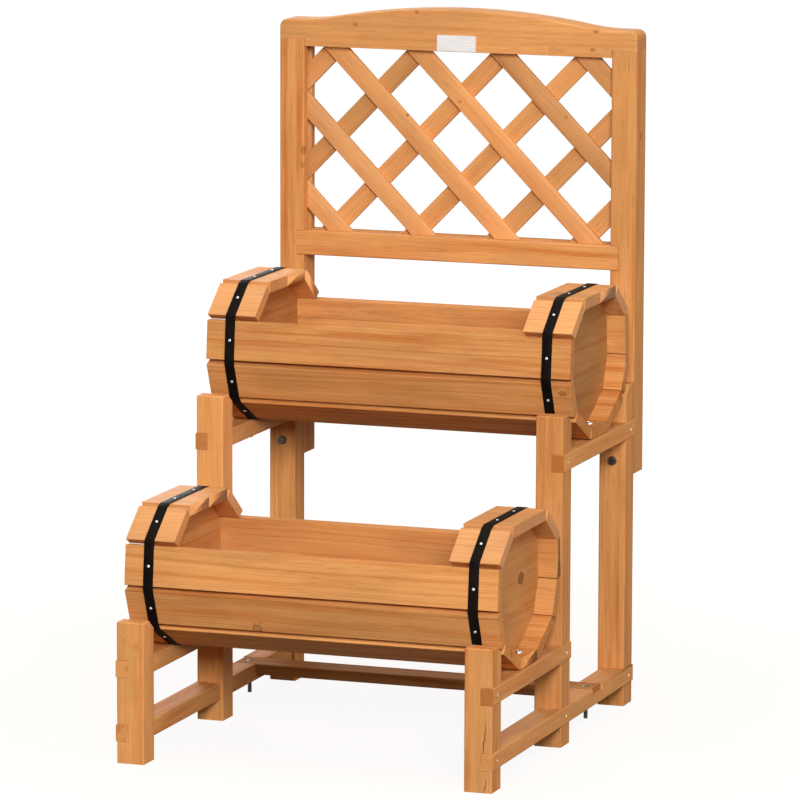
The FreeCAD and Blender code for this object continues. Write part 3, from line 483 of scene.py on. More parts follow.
# Each knot: its place, the branch's direction, its radius, and how dark its heart and its rim are.
KNOTS = {
    "trellis_top_rail": [((-148, 276, 922), FRONT, 2.7, 0.5, 0.6), ((-58, 276, 943), FRONT, 2.2, 0.6, 0.5),
                         ((200, 276, 925), FRONT, 2.4, 0.6, 0.6), ((196, 276, 900), FRONT, 2.4, 0.6, 0.6),
                         ((139, 276, 898), FRONT, 4.4, 0.1, 0.35), ((150, 276, 897), FRONT, 2.6, 0.1, 0.3)],
    "front_slats": [((-77, 291, 798), FRONT, 1.6, 0.7, 0.7), ((0, 291, 820), FRONT, 1.8, 0.5, 0.6),
                    ((154, 291, 805), FRONT, 1.8, 0.6, 0.7), ((217, 291, 750), FRONT, 1.8, 0.6, 0.7)],
    "trellis_post_right": [((259, 298, 783), RIGHT, 3.4, 0.7, 0.7)],
    "trellis_post_left": [((-224, 276, 745), FRONT, 4.0, 0.5, 0.5), ((-226, 276, 724), FRONT, 3.0, 0.4, 0.4)],
    "lower_barrel_end_panel_right": [((232, -131, 245), RIGHT, 8.5, 1.0, 0.9)],
    "lower_barrel_front_middle_stave": [((-79, -284, 186), FRONT, 4.8, 0.25, 0.9)],
    "upper_barrel_front_middle_stave": [((246, 0, 472), FRONT, 4.0, 0.6, 0.6)],
    "front_post_left": [((-249, -329, 163), FRONT, 4.2, 0.12, 0.12),
                        ((-233, -329, 158), FRONT, 3.6, 0.2, 0.14)],
}
# Each check: its middle, the way across it, half its length and width, and how much it leans.
CHECKS = {
    "front_post_right": [((249.5, -329, 68), (1, 0, 0), 32, 0.7, 0.10),
                         ((251, -329, 8), (1, 0, 0), 13, 0.6, 0.16)],
}
# Boards that are lighter or darker than the rest, from 1 as the mean. Most of this is the board's
# own tone, but some is painted light: the end panels deep in their recesses and the stretcher under
# the lower barrel are darkened as painted shade, and the lower barrel's front lower stave, which
# faces down, is lightened as painted bounce light.
TONES_AND_PAINTED_LIGHT = {
    "upper_barrel_end_panel_right": 0.62, "upper_barrel_end_panel_left": 0.66,
    "lower_barrel_end_panel_right": 0.80, "lower_barrel_end_panel_left": 0.78,
    "mid_post_right": 0.88, "mid_post_left": 1.10, "front_post_right": 0.97, "front_post_left": 1.03,
    "upper_barrel_front_upper_stave": 0.87, "upper_barrel_front_middle_stave": 0.91,
    "lower_barrel_front_upper_stave": 0.99, "lower_barrel_front_middle_stave": 1.0,
    "cross_stretcher": 0.70, "lower_tier_rail_right": 0.95, "trellis_top_rail": 0.94,
    "lower_tier_rail_left": 1.04, "lower_rail_left": 1.04, "trellis_post_right": 0.92,
    "lower_barrel_front_lower_stave": 1.12, "lower_barrel_bottom_stave": 0.95,
    "upper_barrel_front_lower_stave": 0.93, "lower_barrel_rear_lower_stave": 0.90,
    "lower_barrel_rear_middle_stave": 0.90, "lower_barrel_rear_upper_stave": 0.92,
    "lower_barrel_front_shoulder_left": 0.92, "lower_barrel_front_shoulder_right": 0.90,
}
# Rails whose sawn ends took up much stain, and those whose ends are as light as the post.
ENDS = {"lower_tier_rail_right": 0.75, "upper_tier_rail_right": 0.85, "upper_tier_rail_left": 0.5,
        "lower_rail_right": 0.06, "lower_rail_left": 0.0, "lower_tier_rail_left": 0.0}
# How much of the oil's gloss shows. These values are matched to the look and not known from the finish:
# the boards on top have a soft sheen, and the undersides have next to none.
OIL = {"shoulder": 0.5, "top_left": 0.3, "top_right": 0.3, "top_rail": 0.2,
       "lower_stave": 0.02, "bottom_stave": 0.02, "stretcher": 0.02}
METALS = ("bolts", "screws", "nails", "strap", "plate")
wooden = sorted(n for n in nodes if not any(word in n for word in METALS) and "lattice" not in n)


def grain_of(node):
    """The axis that the piece's grain runs along."""
    if "end_panel" in node:
        return "Y"
    if any(word in node for word in ("stave", "shoulder", "top_left", "top_right")):
        return "X"
    low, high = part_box(node)
    sides = high - low
    return "XYZ"[max(range(3), key=lambda i: sides[i])]


# %% Every wooden piece gets its board
chance = random.Random(11)
for node in wooden:
    low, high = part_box(node)
    along = grain_of(node)
    angle, reach = chance.uniform(0, 2 * math.pi), chance.uniform(30, 120)
    heart = (low + high) / 2 * MM
    aside = [i for i in range(3) if i != "XYZ".index(along)]
    heart[aside[0]] += math.cos(angle) * reach
    heart[aside[1]] += math.sin(angle) * reach
    heart["XYZ".index(along)] = chance.uniform(-4000, 4000)
    coat = next((gloss for word, gloss in OIL.items() if word in node), 0.08)
    ring, tone, warmth = chance.uniform(2.6, 4.6), chance.uniform(0.92, 1.02), chance.uniform(0.35, 0.95)
    # Painted light: the boards with a sheen are also made the palest, which paints more sheen into
    # their colour, and the boards that face down are made the reddest, which paints warm bounce light
    # into their shade.
    warmth = 1.0 if coat < 0.05 else 0.2 if coat >= 0.2 else warmth
    material = fir(f"fir_{node}", TURNS[along], heart, ring=ring, tone=TONES_AND_PAINTED_LIGHT.get(node, tone), warmth=warmth,
                   ends=ENDS.get(node, 0.3), oil=coat, knots=KNOTS.get(node, ()), checks=CHECKS.get(node, ()))
    edges, kept = eased(node, material, slot_of(node))
    print(f"{node}: grain along {along}, {edges} edges eased, {kept:.4f} of its wood left")
print("boards:", len(wooden), "with knots:", sum(len(k) for k in KNOTS.values()))

# %% [markdown]
# ## Metals
#
# The straps are mild steel strip with a black satin powder coat, which
# looks nearly black with a soft grey sheen at the bends. The fasteners are
# steel under a thin bright layer of zinc. The small plate on the top rail
# is brushed aluminium.

# %% Black strap, zinc and aluminium
def metal_tree(name):
    material, tree = empty_material(name)
    return material, tree, add(tree, "ShaderNodeTexCoord").outputs["Object"]


def strap_steel():
    material, tree, where = metal_tree("powder_coated_strap_steel")
    # Powder coat flows into a faint orange peel, 1.5 mm from dimple to dimple.
    peel = add(tree, NOISE, {"Vector": where, "Scale": 1 / 0.0015, "Detail": 1.0})
    scuff = add(tree, NOISE, {"Vector": where, "Scale": 1 / 0.03, "Detail": 4.0, "Roughness": 0.6})
    colour = stops(add(tree, RAMP, scuff), (0.35, linear("#0D0907")), (0.75, linear("#19120D")))
    gloss = add(tree, MAP_RANGE, scuff, 0.3, 0.7, 0.48, 0.60)
    relief = add(tree, "ShaderNodeBump", {"Height": peel, "Strength": 0.2, "Distance": 0.0001})
    # The coat is an epoxy polyester, whose IOR is 1.55.
    shader = add(tree, BSDF,
                 {"Base Color": colour, "Roughness": gloss, "Normal": relief, "IOR": 1.55,
                  "Specular IOR Level": 0.03})
    add(tree, OUTPUT, {"Surface": shader})
    return material


def bare_metal(material, tree, pattern, dull, bright, smooth, rough):
    """Metal whose colour and roughness follow one pattern."""
    colour = stops(add(tree, RAMP, pattern), (0.3, linear(dull)), (0.7, linear(bright)))
    gloss = add(tree, MAP_RANGE, pattern, 0.3, 0.7, smooth, rough)
    shader = add(tree, BSDF, {"Base Color": colour, "Roughness": gloss, "Metallic": 1.0})
    add(tree, OUTPUT, {"Surface": shader})
    return material


def zinc(name, dull, bright):
    material, tree, where = metal_tree(name)
    # Zinc dulls in a fine bloom, in spots of some 2 mm.
    bloom = add(tree, NOISE, {"Vector": where, "Scale": 1 / 0.002, "Detail": 3.0})
    return bare_metal(material, tree, bloom, dull, bright, 0.26, 0.42)


def aluminium():
    material, tree, where = metal_tree("brushed_aluminium")
    # Brush lines are 0.1 mm apart; they are drawn 0.6 mm apart to show.
    lines = add(tree, MAPPING, {"Vector": where, "Scale": (1 / 0.03, 1 / 0.0006, 1 / 0.0006)})
    brush = add(tree, NOISE, {"Vector": lines, "Scale": 1.0, "Detail": 2.0})
    return bare_metal(material, tree, brush, "#C6C2C0", "#DAD6D4", 0.42, 0.55)


STRAP, PLATE = strap_steel(), aluminium()
# The nails are bright zinc. The small screws look warmer, so they are taken as yellow zinc. The long
# bolts get darker zinc as painted shade: it stands in for the shaded wood round them that they mirror,
# where the white world would make them bright.
ZINC = zinc("zinc_plated_steel", "#A9AAAB", "#D0D0CD")
YELLOW_ZINC = zinc("yellow_zinc_plated_steel", "#9C7746", "#DDB982")
SHADE_DARKENED_ZINC = zinc("shade_darkened_zinc_plated_steel", "#302C27", "#5C564D")
plate = nodes["blank_plate"].data
plate.materials.clear()
plate.materials.append(PLATE)
print("metals:", [metal.name for metal in (STRAP, ZINC, YELLOW_ZINC, SHADE_DARKENED_ZINC, PLATE)])

# %% [markdown]
# ## Growing pieces with Geometry Nodes
#
# Twenty nails, fourteen screws or a dozen slats are the same thing in
# another place. Each could be copied by hand, but a node tree makes one and
# sets it on every place, and its sizes stay named inputs. The tree runs on
# a small seed mesh, which holds only the places. What it makes is kept as a
# plain mesh, because the exported model has no modifiers.

# %% Helpers for the trees
TRANSFORM, BOOLEAN = "GeometryNodeTransform", "GeometryNodeMeshBoolean"
CYLINDER, CONE = "GeometryNodeMeshCylinder", "GeometryNodeMeshCone"
CURVE_TO_MESH, FILLET = "GeometryNodeCurveToMesh", "GeometryNodeFilletCurve"
CIRCLE, RECTANGLE = "GeometryNodeCurvePrimitiveCircle", "GeometryNodeCurvePrimitiveQuadrilateral"


def new_tree(name, sizes, corners=()):
    """A tree for a modifier: a geometry and a material go in, and named sizes and corners in metres."""
    tree, given = new_group(name, "GeometryNodeTree",
                            {"Geometry": ("Geometry",), "Material": ("Material",), "Float": sizes,
                             "Vector": corners},
                            {"Geometry": ("Geometry",)})
    tree.is_modifier = True
    return tree, given


def moved(tree, shape, height, **more):
    """The shape moved along Z. Its turn or scale may be given too."""
    return add(tree, TRANSFORM, {"Geometry": shape, "Translation": add(tree, COMBINE, {2: height}), **more})


def close_tree(tree, given, geometry):
    """Ends a tree: real geometry in place of instances, then its material."""
    real = add(tree, "GeometryNodeRealizeInstances", geometry)
    painted = add(tree, "GeometryNodeSetMaterial", {"Geometry": real, "Material": given["Material"]})
    add(tree, "NodeGroupOutput", painted)
    return tree


def set_on_points(tree, given, shape):
    """One copy of the shape on each seed point, its Z axis along the point's aim."""
    aim = add(tree, "GeometryNodeInputNamedAttribute", {"Name": "aim"}, data_type="FLOAT_VECTOR")
    turn = add(tree, "FunctionNodeAlignRotationToVector", {"Vector": aim}, axis="Z")
    copies = add(tree, "GeometryNodeInstanceOnPoints",
                 {"Points": given["Geometry"], "Instance": shape, "Rotation": turn})
    return close_tree(tree, given, copies)


def grow(name, tree, seed, values, material, node, crease=35):
    """Runs the tree on the seed mesh. The result stands for a CAD node."""
    piece = new_object(name, seed)
    modifier = piece.modifiers.new("grow", "NODES")
    modifier.node_group = tree
    for item in tree.interface.items_tree:
        if item.in_out == "INPUT" and item.name in values:
            modifier[item.identifier] = values[item.name]
        elif item.in_out == "INPUT" and item.name == "Material":
            modifier[item.identifier] = material
    graph = bpy.context.evaluated_depsgraph_get()
    made = bpy.data.meshes.new_from_object(piece.evaluated_get(graph), depsgraph=graph)
    piece.modifiers.remove(modifier)
    piece.data = made
    made.name = name
    made.shade_smooth()
    made.set_sharp_from_angle(angle=math.radians(crease))
    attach(piece, "root")
    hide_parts(node)
    print(f"{name}: {len(made.polygons)} faces")
    return piece


# %% Reading places from the CAD pieces
def loose_parts(node):
    """The corner points of each separate solid in a CAD piece, in metres."""
    copy = bmesh.new()
    copy.from_mesh(nodes[node].data)
    bmesh.ops.remove_doubles(copy, verts=copy.verts, dist=1e-6)
    left, parts = set(copy.verts), []
    while left:
        part = [left.pop()]
        for vertex in part:
            fresh = {edge.other_vert(vertex) for edge in vertex.link_edges} & left
            left -= fresh
            part.extend(fresh)
        parts.append(np.array([vertex.co[:] for vertex in part]))
    copy.free()
    return parts


def fasteners(node, head_height, least=0.02):
    """Seat of the head and direction of each fastener in a CAD piece."""
    places = []
    for part in loose_parts(node):
        middle = part.mean(0)
        axis = np.linalg.svd(part - middle)[2][0]
        run = (part - middle) @ axis
        if run.max() - run.min() < least:
            continue
        off = np.linalg.norm((part - middle) - np.outer(run, axis), axis=1)
        if off[run > 0].max() < off[run < 0].max():
            axis, run = -axis, -run
        places.append((middle + axis * (run.max() - head_height), axis, run.max() - run.min() - head_height))
    return sorted(places, key=lambda place: tuple(np.round(place[0], 4)))


def seed_points(name, places):
    """A mesh of single points, each with the direction that its fastener points."""
    mesh = bpy.data.meshes.new(name)
    mesh.from_pydata([tuple(seat) for seat, _, _ in places], [], [])
    aims = mesh.attributes.new("aim", "FLOAT_VECTOR", "POINT")
    for item, (_, axis, _) in zip(aims.data, places):
        item.vector = axis
    return mesh


# %% [markdown]
# ## Strap nails
#
# Small domed nails hold the straps, one in each board. The dome is the
# upper half of a ball, pressed to the head's height, and a thin cone below
# it is the shank. The lower half of the ball is pressed flat to close the
# head underneath.

# %% Domed nails
def domed_nail_tree():
    tree, given = new_tree("domed_nail", ("Head Radius", "Head Height", "Shank Radius", "Length"))
    ball = add(tree, "GeometryNodeMeshUVSphere", {"Segments": 14, "Rings": 8, "Radius": 1.0})
    spot = add(tree, "GeometryNodeInputPosition")
    size = add(tree, COMBINE, given["Head Radius"], given["Head Radius"], given["Head Height"])
    sized = add(tree, VECTOR_MATH, spot, size, operation="MULTIPLY")
    flat = add(tree, VECTOR_MATH, sized, (-1, -1, 0), operation="MAXIMUM")
    head = add(tree, "GeometryNodeSetPosition", {"Geometry": ball, "Position": flat})
    shank = add(tree, CONE,
                {"Radius Top": given["Shank Radius"], "Depth": given["Length"], "Vertices": 8,
                 "Radius Bottom": 0.0002})
    lowered = moved(tree, shank, add(tree, "MULTIPLY", given["Length"], -1.0))
    whole = add(tree, "GeometryNodeJoinGeometry", [head, lowered])
    return set_on_points(tree, given, whole)


NAIL = domed_nail_tree()
NAIL_HEAD_HEIGHT = 0.0011
for barrel in ("lower_barrel", "upper_barrel"):
    node = f"{barrel}_strap_nails"
    places = fasteners(node, NAIL_HEAD_HEIGHT)
    grow(f"{barrel}_domed_nails", NAIL, seed_points("nail_places", places),
         {"Head Radius": 0.0021, "Head Height": NAIL_HEAD_HEIGHT,"Shank Radius": 0.0008, "Length": 0.0249},
         ZINC, node)

# %% [markdown]
# ## Screws and bolts with a cross recess
#
# The screws in the rails and the bolts under the barrels have pan heads: a
# low dome with steep sides. A ball gives it, too, when its height is bent by
# a power curve, where 2 is a round dome and 3.2 is a pan. Two tapered
# blades cut the cross for the screwdriver. The thread is a ridge swept
# along a spiral round a core.

# %% Threads and pan heads
THREAD_DEPTH = 0.36  # of the pitch


def threaded(tree, given, thread_length):
    """Core and ridge, both hung under the head. The ridge's crest is the bolt's full radius."""
    depth = add(tree, "MULTIPLY", given["Pitch"], THREAD_DEPTH)
    core_radius = add(tree, "SUBTRACT", given["Shank Radius"], depth)
    core = add(tree, CYLINDER, {"Radius": core_radius, "Depth": given["Length"], "Vertices": 20})
    turns = add(tree, "DIVIDE", thread_length, given["Pitch"])
    spiral = add(tree, "GeometryNodeCurveSpiral",
                 {"Rotations": turns, "Start Radius": core_radius, "End Radius": core_radius,
                  "Height": thread_length, "Resolution": 16})
    section = add(tree, CIRCLE, {"Radius": depth, "Resolution": 4})
    ridge = add(tree, CURVE_TO_MESH, {"Curve": spiral, "Profile Curve": section, "Fill Caps": True})
    return [moved(tree, core, add(tree, "MULTIPLY", given["Length"], -0.5)),
            moved(tree, ridge, add(tree, "SUBTRACT", depth, given["Length"]))]


PAN_CURVE = 3.2  # the power that turns a ball's dome into a pan


def pan_head_tree():
    tree, given = new_tree("pan_head_bolt", ("Head Radius", "Head Height", "Shank Radius", "Length",
                                             "Thread Length", "Pitch"))
    ball = add(tree, "GeometryNodeMeshUVSphere", {"Segments": 32, "Rings": 24, "Radius": 1.0})
    spot = add(tree, "GeometryNodeInputPosition")
    parts = add(tree, SEPARATE, spot)
    flat = add(tree, VECTOR_MATH, spot, (1, 1, 0), operation="MULTIPLY")
    reach = add(tree, VECTOR_MATH, flat, operation="LENGTH")
    power = add(tree, "POWER", reach, PAN_CURVE)
    rest = add(tree, "SUBTRACT", 1.0, power, use_clamp=True)
    dome = add(tree, "POWER", rest, 1 / PAN_CURVE)
    upper = add(tree, "GREATER_THAN", parts.outputs[2], 0.0)
    above = add(tree, "MULTIPLY", dome, upper)
    high = add(tree, "MULTIPLY", above, given["Head Height"])
    wide = add(tree, VECTOR_MATH, {0: flat, "Scale": given["Head Radius"]}, operation="SCALE")
    lift = add(tree, COMBINE, {2: high})
    shaped = add(tree, VECTOR_MATH, wide, lift, operation="ADD")
    head = add(tree, "GeometryNodeSetPosition", {"Geometry": ball, "Position": shaped})
    # The recess: two blades, narrower below, from above the head to 0.4 of its height.
    blade_top = add(tree, "MULTIPLY", given["Head Radius"], 0.60)
    blade_foot = add(tree, "MULTIPLY", given["Head Radius"], 0.22)
    depth = add(tree, "MULTIPLY", given["Head Height"], 0.75)
    floor_at = add(tree, "MULTIPLY", given["Head Height"], 0.40)
    blade = add(tree, CONE,
                {"Radius Top": blade_top, "Radius Bottom": blade_foot, "Depth": depth, "Vertices": 4})
    first = moved(tree, blade, floor_at, Scale=(1, 0.34, 1))
    second = add(tree, TRANSFORM, {"Geometry": first, "Rotation": (0, 0, math.pi / 2)})
    cut = add(tree, BOOLEAN, head, [first, second], operation="DIFFERENCE", solver="EXACT")
    whole = add(tree, "GeometryNodeJoinGeometry", [cut, *threaded(tree, given, given["Thread Length"])])
    return set_on_points(tree, given, whole)


PAN = pan_head_tree()
# Name of the CAD piece, head radius and height, shank radius, thread length and pitch.
for node, metal, radius, height, shank, thread, pitch in (
        ("frame_screws", YELLOW_ZINC, 0.0027, 0.0015, 0.0017, 0.020, 0.0018),
        ("stretcher_bolts", SHADE_DARKENED_ZINC, 0.0050, 0.0034, 0.0030, 0.022, 0.0010),
        ("barrel_bolts", ZINC, 0.0050, 0.0034, 0.0030, 0.022, 0.0010)):
    places = fasteners(node, height)
    length = min(reach for _, _, reach in places)
    grow(f"cross_head_{node}", PAN, seed_points("screw_places", places),
         {"Head Radius": radius, "Head Height": height, "Shank Radius": shank, "Length": length,
          "Thread Length": thread, "Pitch": pitch}, metal, node)

# %% [markdown]
# ## Hexagon bolts, washers and nuts
#
# Two bolts on each side hold a trellis post to the rear post. A hexagon's
# corners are turned off at 30 degrees, so that they don't cut the hand or
# the washer. That bevel is where a steep cone meets the prism, and an
# intersection of the two gives its curved edges.

# %% Hexagon bolts
ROUND_FACE = 0.835  # the radius left flat on top, as a share of the hexagon's
WIDENING = 1.732  # of the bevel's cone for each 1 of height, because its side is at 30 degrees to the face


def hexagon_bolt_tree():
    tree, given = new_tree("hexagon_bolt", ("Hexagon Radius", "Head Height", "Nut Height", "Shank Radius",
                                            "Washer Radius", "Washer Thickness", "Grip", "Length", "Pitch"))

    def hexagon(height):
        """A bevelled hexagon that stands on the origin."""
        prism = add(tree, CYLINDER, {"Radius": given["Hexagon Radius"], "Depth": height, "Vertices": 6})
        standing = moved(tree, prism, add(tree, "MULTIPLY", height, 0.5))
        top = add(tree, "MULTIPLY", given["Hexagon Radius"], ROUND_FACE)
        foot = add(tree, "MULTIPLY_ADD", height, WIDENING, top)
        cone = add(tree, CONE, {"Radius Top": top, "Radius Bottom": foot, "Depth": height, "Vertices": 48})
        return add(tree, BOOLEAN, {1: [standing, cone]}, operation="INTERSECT", solver="EXACT")

    def washer():
        """A flat ring that hangs from the origin down."""
        both = add(tree, "ADD", given["Washer Radius"], given["Shank Radius"])
        line = add(tree, CIRCLE, {"Radius": add(tree, "MULTIPLY", both, 0.5), "Resolution": 40})
        breadth = add(tree, "SUBTRACT", given["Washer Radius"], given["Shank Radius"])
        edge = add(tree, RECTANGLE, {"Width": breadth, "Height": given["Washer Thickness"]})
        soft = add(tree, FILLET, {"Curve": edge, "Count": 2, "Radius": 0.0002}, mode="POLY")
        ring = add(tree, CURVE_TO_MESH, {"Curve": line, "Profile Curve": soft})
        return moved(tree, ring, add(tree, "MULTIPLY", given["Washer Thickness"], -0.5))

    head, ring = hexagon(given["Head Height"]), washer()
    far = add(tree, "ADD", given["Grip"], given["Washer Thickness"])
    back_face = add(tree, "ADD", far, given["Washer Thickness"])
    second = moved(tree, ring, add(tree, "MULTIPLY", far, -1.0))
    nut = moved(tree, hexagon(given["Nut Height"]), add(tree, "MULTIPLY", back_face, -1.0),
                Rotation=(math.pi, 0, 0.3))
    # The shank is plain to the nut, and threaded from there to its end.
    tail = add(tree, "SUBTRACT", given["Length"], back_face)
    thread = add(tree, "SUBTRACT", tail, add(tree, "MULTIPLY", given["Pitch"], THREAD_DEPTH))
    whole = add(tree, "GeometryNodeJoinGeometry", [head, ring, second, nut, *threaded(tree, given, thread)])
    return set_on_points(tree, given, whole)


HEX = hexagon_bolt_tree()
HEX_HEAD_HEIGHT = 0.004
places = fasteners("trellis_bolts", HEX_HEAD_HEIGHT)
grow("trellis_hexagon_bolts", HEX, seed_points("bolt_places", places),
     {"Hexagon Radius": 0.0058, "Head Height": HEX_HEAD_HEIGHT, "Nut Height": 0.005, "Shank Radius": 0.003,
      "Washer Radius": 0.0062, "Washer Thickness": 0.0012, "Grip": 0.082, "Length": places[0][2],
      "Pitch": 0.001},
     SHADE_DARKENED_ZINC, "trellis_bolts", crease=25)

# %% [markdown]
# ## Straps
#
# A strap is flat strip, pulled round the barrel and bent over the corners of
# the boards. It follows a path, so it is a curve with a section: the corners
# come from the outline of the CAD strap, a fillet gives the bends, and the
# section is the strip with its edges broken.

# %% Bent straps
def strap_tree():
    tree, given = new_tree("bent_strap", ("Width", "Thickness", "Bend Radius", "Edge Radius"))
    line = add(tree, "GeometryNodeMeshToCurve", {"Mesh": given["Geometry"]})
    bent = add(tree, FILLET,
               {"Curve": line, "Radius": given["Bend Radius"], "Count": 6, "Limit Radius": True}, mode="POLY")
    strip = add(tree, RECTANGLE, {"Width": given["Width"], "Height": given["Thickness"]})
    broken = add(tree, FILLET,
                 {"Curve": strip, "Radius": given["Edge Radius"], "Count": 2, "Limit Radius": True},
                 mode="POLY")
    swept = add(tree, CURVE_TO_MESH, {"Curve": bent, "Profile Curve": broken})
    return close_tree(tree, given, swept)


def strap_line(node, thickness):
    """The corners of a strap's outline, drawn in by half its thickness, as a ring of edges."""
    low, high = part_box(node)
    flat = {(round(v.co.y, 6), round(v.co.z, 6)) for v in nodes[node].data.vertices}
    spots = [Vector(spot) for spot in sorted(flat)]
    hull = [spots[i] for i in convex_hull_2d(spots)]
    corners = []
    for before, here, after in zip(hull[-1:] + hull[:-1], hull, hull[1:] + hull[:1]):
        come, go = (here - before).normalized(), (after - here).normalized()
        if come.angle(go) > math.radians(3):
            inward = (go - come).normalized()
            corners.append(here + inward * (thickness / 2) / math.cos(come.angle(go) / 2))
    x = (low.x + high.x) / 2
    mesh = bpy.data.meshes.new("strap_line")
    mesh.from_pydata([(x, y, z) for y, z in corners],
                     [(i, (i + 1) % len(corners)) for i in range(len(corners))], [])
    return mesh


BENT = strap_tree()
STRAP_THICKNESS = 0.001
for barrel in ("lower_barrel", "upper_barrel"):
    for side in ("left", "right"):
        node = f"{barrel}_strap_{side}"
        line = strap_line(node, STRAP_THICKNESS)
        grow(f"{barrel}_bent_strap_{side}", BENT, line,
             {"Width": 0.014, "Thickness": STRAP_THICKNESS, "Bend Radius": 0.009, "Edge Radius": 0.0003},
             STRAP, node)
print("strap corners:", len(line.vertices))

# %% [markdown]
# ## Lattice
#
# The trellis holds two layers of slats, one leaning each way. Each slat is
# a strip swept along its own line with its long edges rounded, and a box the
# size of the grooved opening trims the ends. The lines are read from the CAD
# slats. All slats of a layer share one material, in which every band across
# the layer is another board.

# %% Slats on their lines
def slat_tree():
    tree, given = new_tree("lattice_slats", ("Width", "Thickness", "Edge Radius"),
                           ("Opening Low", "Opening High"))
    line = add(tree, "GeometryNodeMeshToCurve", {"Mesh": given["Geometry"]})
    strip = add(tree, RECTANGLE, {"Width": given["Thickness"], "Height": given["Width"]})
    eased = add(tree, FILLET,
                {"Curve": strip, "Radius": given["Edge Radius"], "Count": 3, "Limit Radius": True},
                mode="POLY")
    slats = add(tree, CURVE_TO_MESH, {"Curve": line, "Profile Curve": eased, "Fill Caps": True})
    size = add(tree, VECTOR_MATH, given["Opening High"], given["Opening Low"], operation="SUBTRACT")
    total = add(tree, VECTOR_MATH, given["Opening High"], given["Opening Low"], operation="ADD")
    middle = add(tree, VECTOR_MATH, {0: total, "Scale": 0.5}, operation="SCALE")
    block = add(tree, "GeometryNodeMeshCube", {"Size": size})
    opening = add(tree, TRANSFORM, {"Geometry": block, "Translation": middle})
    trimmed = add(tree, BOOLEAN, {1: [slats, opening]}, operation="INTERSECT", solver="EXACT")
    return close_tree(tree, given, trimmed)


def slat_lines(node):
    """Each slat's middle line, the layer's direction, and the step between slats."""
    parts = loose_parts(node)
    spots = max(parts, key=lambda part: np.ptp(part[:, 0]))
    flat = spots[:, [0, 2]] - spots[:, [0, 2]].mean(0)
    way = np.linalg.svd(flat)[2][0]
    way = way if way[0] > 0 else -way
    side = np.array([-way[1], way[0]])
    edges, offsets = [], []
    for part in parts:
        run, off = part[:, [0, 2]] @ way, part[:, [0, 2]] @ side
        across = (off.max() + off.min()) / 2
        depth = (part[:, 1].max() + part[:, 1].min()) / 2
        ends = [way * end + side * across for end in (run.min() - 0.02, run.max() + 0.02)]
        edges.append([(end[0], depth, end[1]) for end in ends])
        offsets.append(across)
    offsets.sort()
    mesh = bpy.data.meshes.new("slat_lines")
    mesh.from_pydata([end for edge in edges for end in edge], [(2 * i, 2 * i + 1) for i in range(len(edges))],
                     [])
    return mesh, math.atan2(way[1], way[0]), offsets


SLATS = slat_tree()
for layer, tone, coat in (("front", 0.98, 0.5), ("rear", 0.95, 0.3)):
    node = f"lattice_{layer}_slats"
    mesh, angle, offsets = slat_lines(node)
    low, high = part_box(node)
    # Turned by the slats' angle, X runs along them and Z counts them.
    turn = Euler((0, angle, 0))
    first = Vector((-math.sin(angle), 0, math.cos(angle))) * offsets[0] * MM
    step = (offsets[-1] - offsets[0]) / (len(offsets) - 1) * MM
    heart = first + Vector((0, (low.y + high.y) / 2 * MM, 0))
    wood = fir(f"fir_{layer}_slats", turn, heart, ring=3.2, tone=tone, warmth=0.2, oil=coat, pitch=step,
               knots=KNOTS.get(f"{layer}_slats", ()))
    grow(f"eased_{layer}_slats", SLATS, mesh,
         {"Width": 0.026, "Thickness": 0.0075, "Edge Radius": 0.0008,
          "Opening Low": low - Vector((0, 0.01, 0)), "Opening High": high + Vector((0, 0.01, 0))},
         wood, node)
    print(layer, "slats:", len(offsets), "at", round(math.degrees(angle), 1), "degrees,", round(step, 1),
          "mm apart")

# %% [markdown]
# ## Floor and light
#
# The planter stands on a pale floor that runs on behind it. A large soft
# lamp in front, a little to the right and above, gives the fronts their
# light, one overhead lights the tops, a weak one on the right opens the
# side faces, and one behind keeps the back readable. The floor looks white
# to the camera but sends little light back, which keeps the undersides of
# the barrels deep. The undersides look warm even in the shade, so the
# ambient light is warm.

# %% A white floor
def looked_at(tree):
    """1 where the camera sees it, straight, in a gloss or through glass, and 0 where it gives light."""
    path = add(tree, "ShaderNodeLightPath").outputs
    seen = add(tree, "MAXIMUM", path["Is Camera Ray"], path["Is Glossy Ray"])
    return add(tree, "MAXIMUM", seen, path["Is Transmission Ray"])


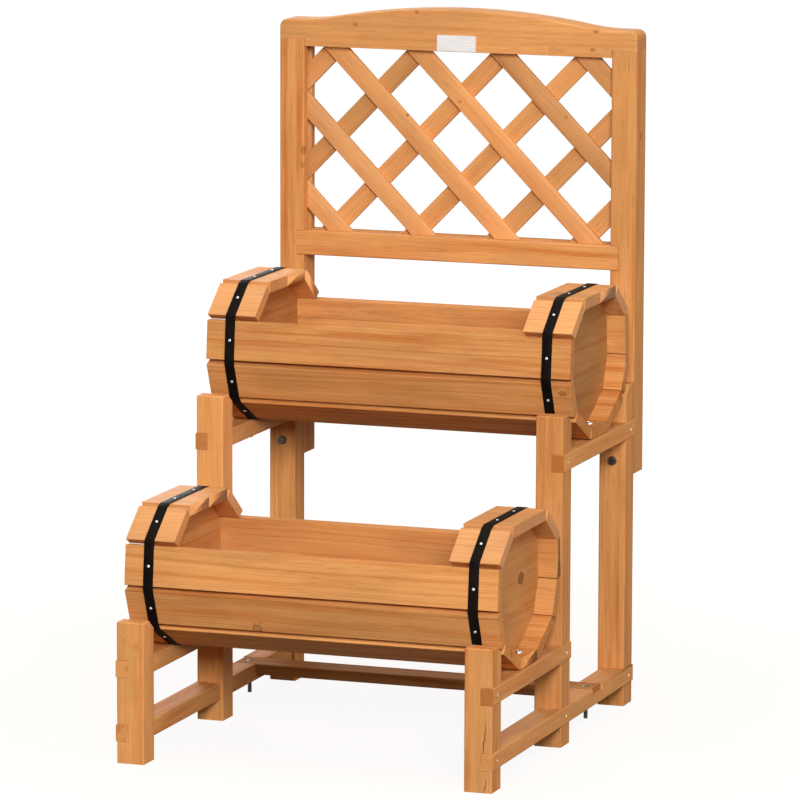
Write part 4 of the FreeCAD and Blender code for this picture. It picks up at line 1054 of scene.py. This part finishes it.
def floor_white():
    material, tree = empty_material("white_studio_floor")
    seen = looked_at(tree)
    matt = add(tree, "ShaderNodeBsdfDiffuse", {"Color": linear("#5E544A")})
    # The glow grows with distance, as on a backdrop with lamps of its own.
    where = add(tree, "ShaderNodeTexCoord")
    away = add(tree, VECTOR_MATH, where.outputs["Object"], operation="LENGTH")
    level = add(tree, MAP_RANGE, away, 0.5, 3.0, 0.91, 1.0)
    shown = add(tree, "MULTIPLY", seen, level)
    glow = add(tree, "ShaderNodeEmission", {"Strength": shown, "Color": (1, 1, 1, 1)})
    both = add(tree, "ShaderNodeAddShader", matt, glow)
    add(tree, OUTPUT, {"Surface": both})
    return material


floor_mesh = bpy.data.meshes.new("floor")
floor_mesh.from_pydata([(-30, -30, 0), (30, -30, 0), (30, 60, 0), (-30, 60, 0)], [], [(0, 1, 2, 3)])
floor_mesh.materials.append(floor_white())
floor = new_object("floor", floor_mesh)
floor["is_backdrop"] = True

# %% Studio lamps and world
MIDDLE = Vector((0, 0, 0.45))  # the point of the planter that every lamp faces


def softbox(name, place, side, watts):
    """A square lamp. Its place and its side are in metres."""
    lamp = bpy.data.lights.new(name, "AREA")
    lamp.shape, lamp.size, lamp.size_y, lamp.energy = "RECTANGLE", side, side, watts
    holder = new_object(name, lamp)
    holder.location = place
    holder.rotation_euler = (MIDDLE - holder.location).to_track_quat("-Z", "Y").to_euler()


softbox("key_lamp", (2.3, -5.4, 2.75), 2.0, 372)
softbox("top_lamp", (-0.3, -0.4, 4.2), 2.4, 70)
softbox("side_lamp", (5.0, -1.4, 1.8), 2.2, 85)
softbox("back_lamp", (-3.2, 4.4, 2.2), 2.4, 110)

world = bpy.data.worlds.new("studio")
bpy.context.scene.world = world
world.use_nodes = True
sky = world.node_tree
sky.nodes.clear()
seen = looked_at(sky)
ambient = add(sky, "ShaderNodeBackground", {"Color": (1, 0.66, 0.42, 1), "Strength": 0.14})
white = add(sky, "ShaderNodeBackground", {"Color": (1, 1, 1, 1), "Strength": 1.0})
mixed = add(sky, "ShaderNodeMixShader", seen, ambient, white)
add(sky, "ShaderNodeOutputWorld", {"Surface": mixed})
bpy.context.scene.view_settings.view_transform = "Standard"

# %% [markdown]
# ## Sizes, and the end
#
# The box of the dressed planter is printed at the end. The dressed
# planter must keep to the CAD model's box.

# %% The dressed planter's box
low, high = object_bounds()
print("visual box", [round(v, 4) for v in low], [round(v, 4) for v in high])
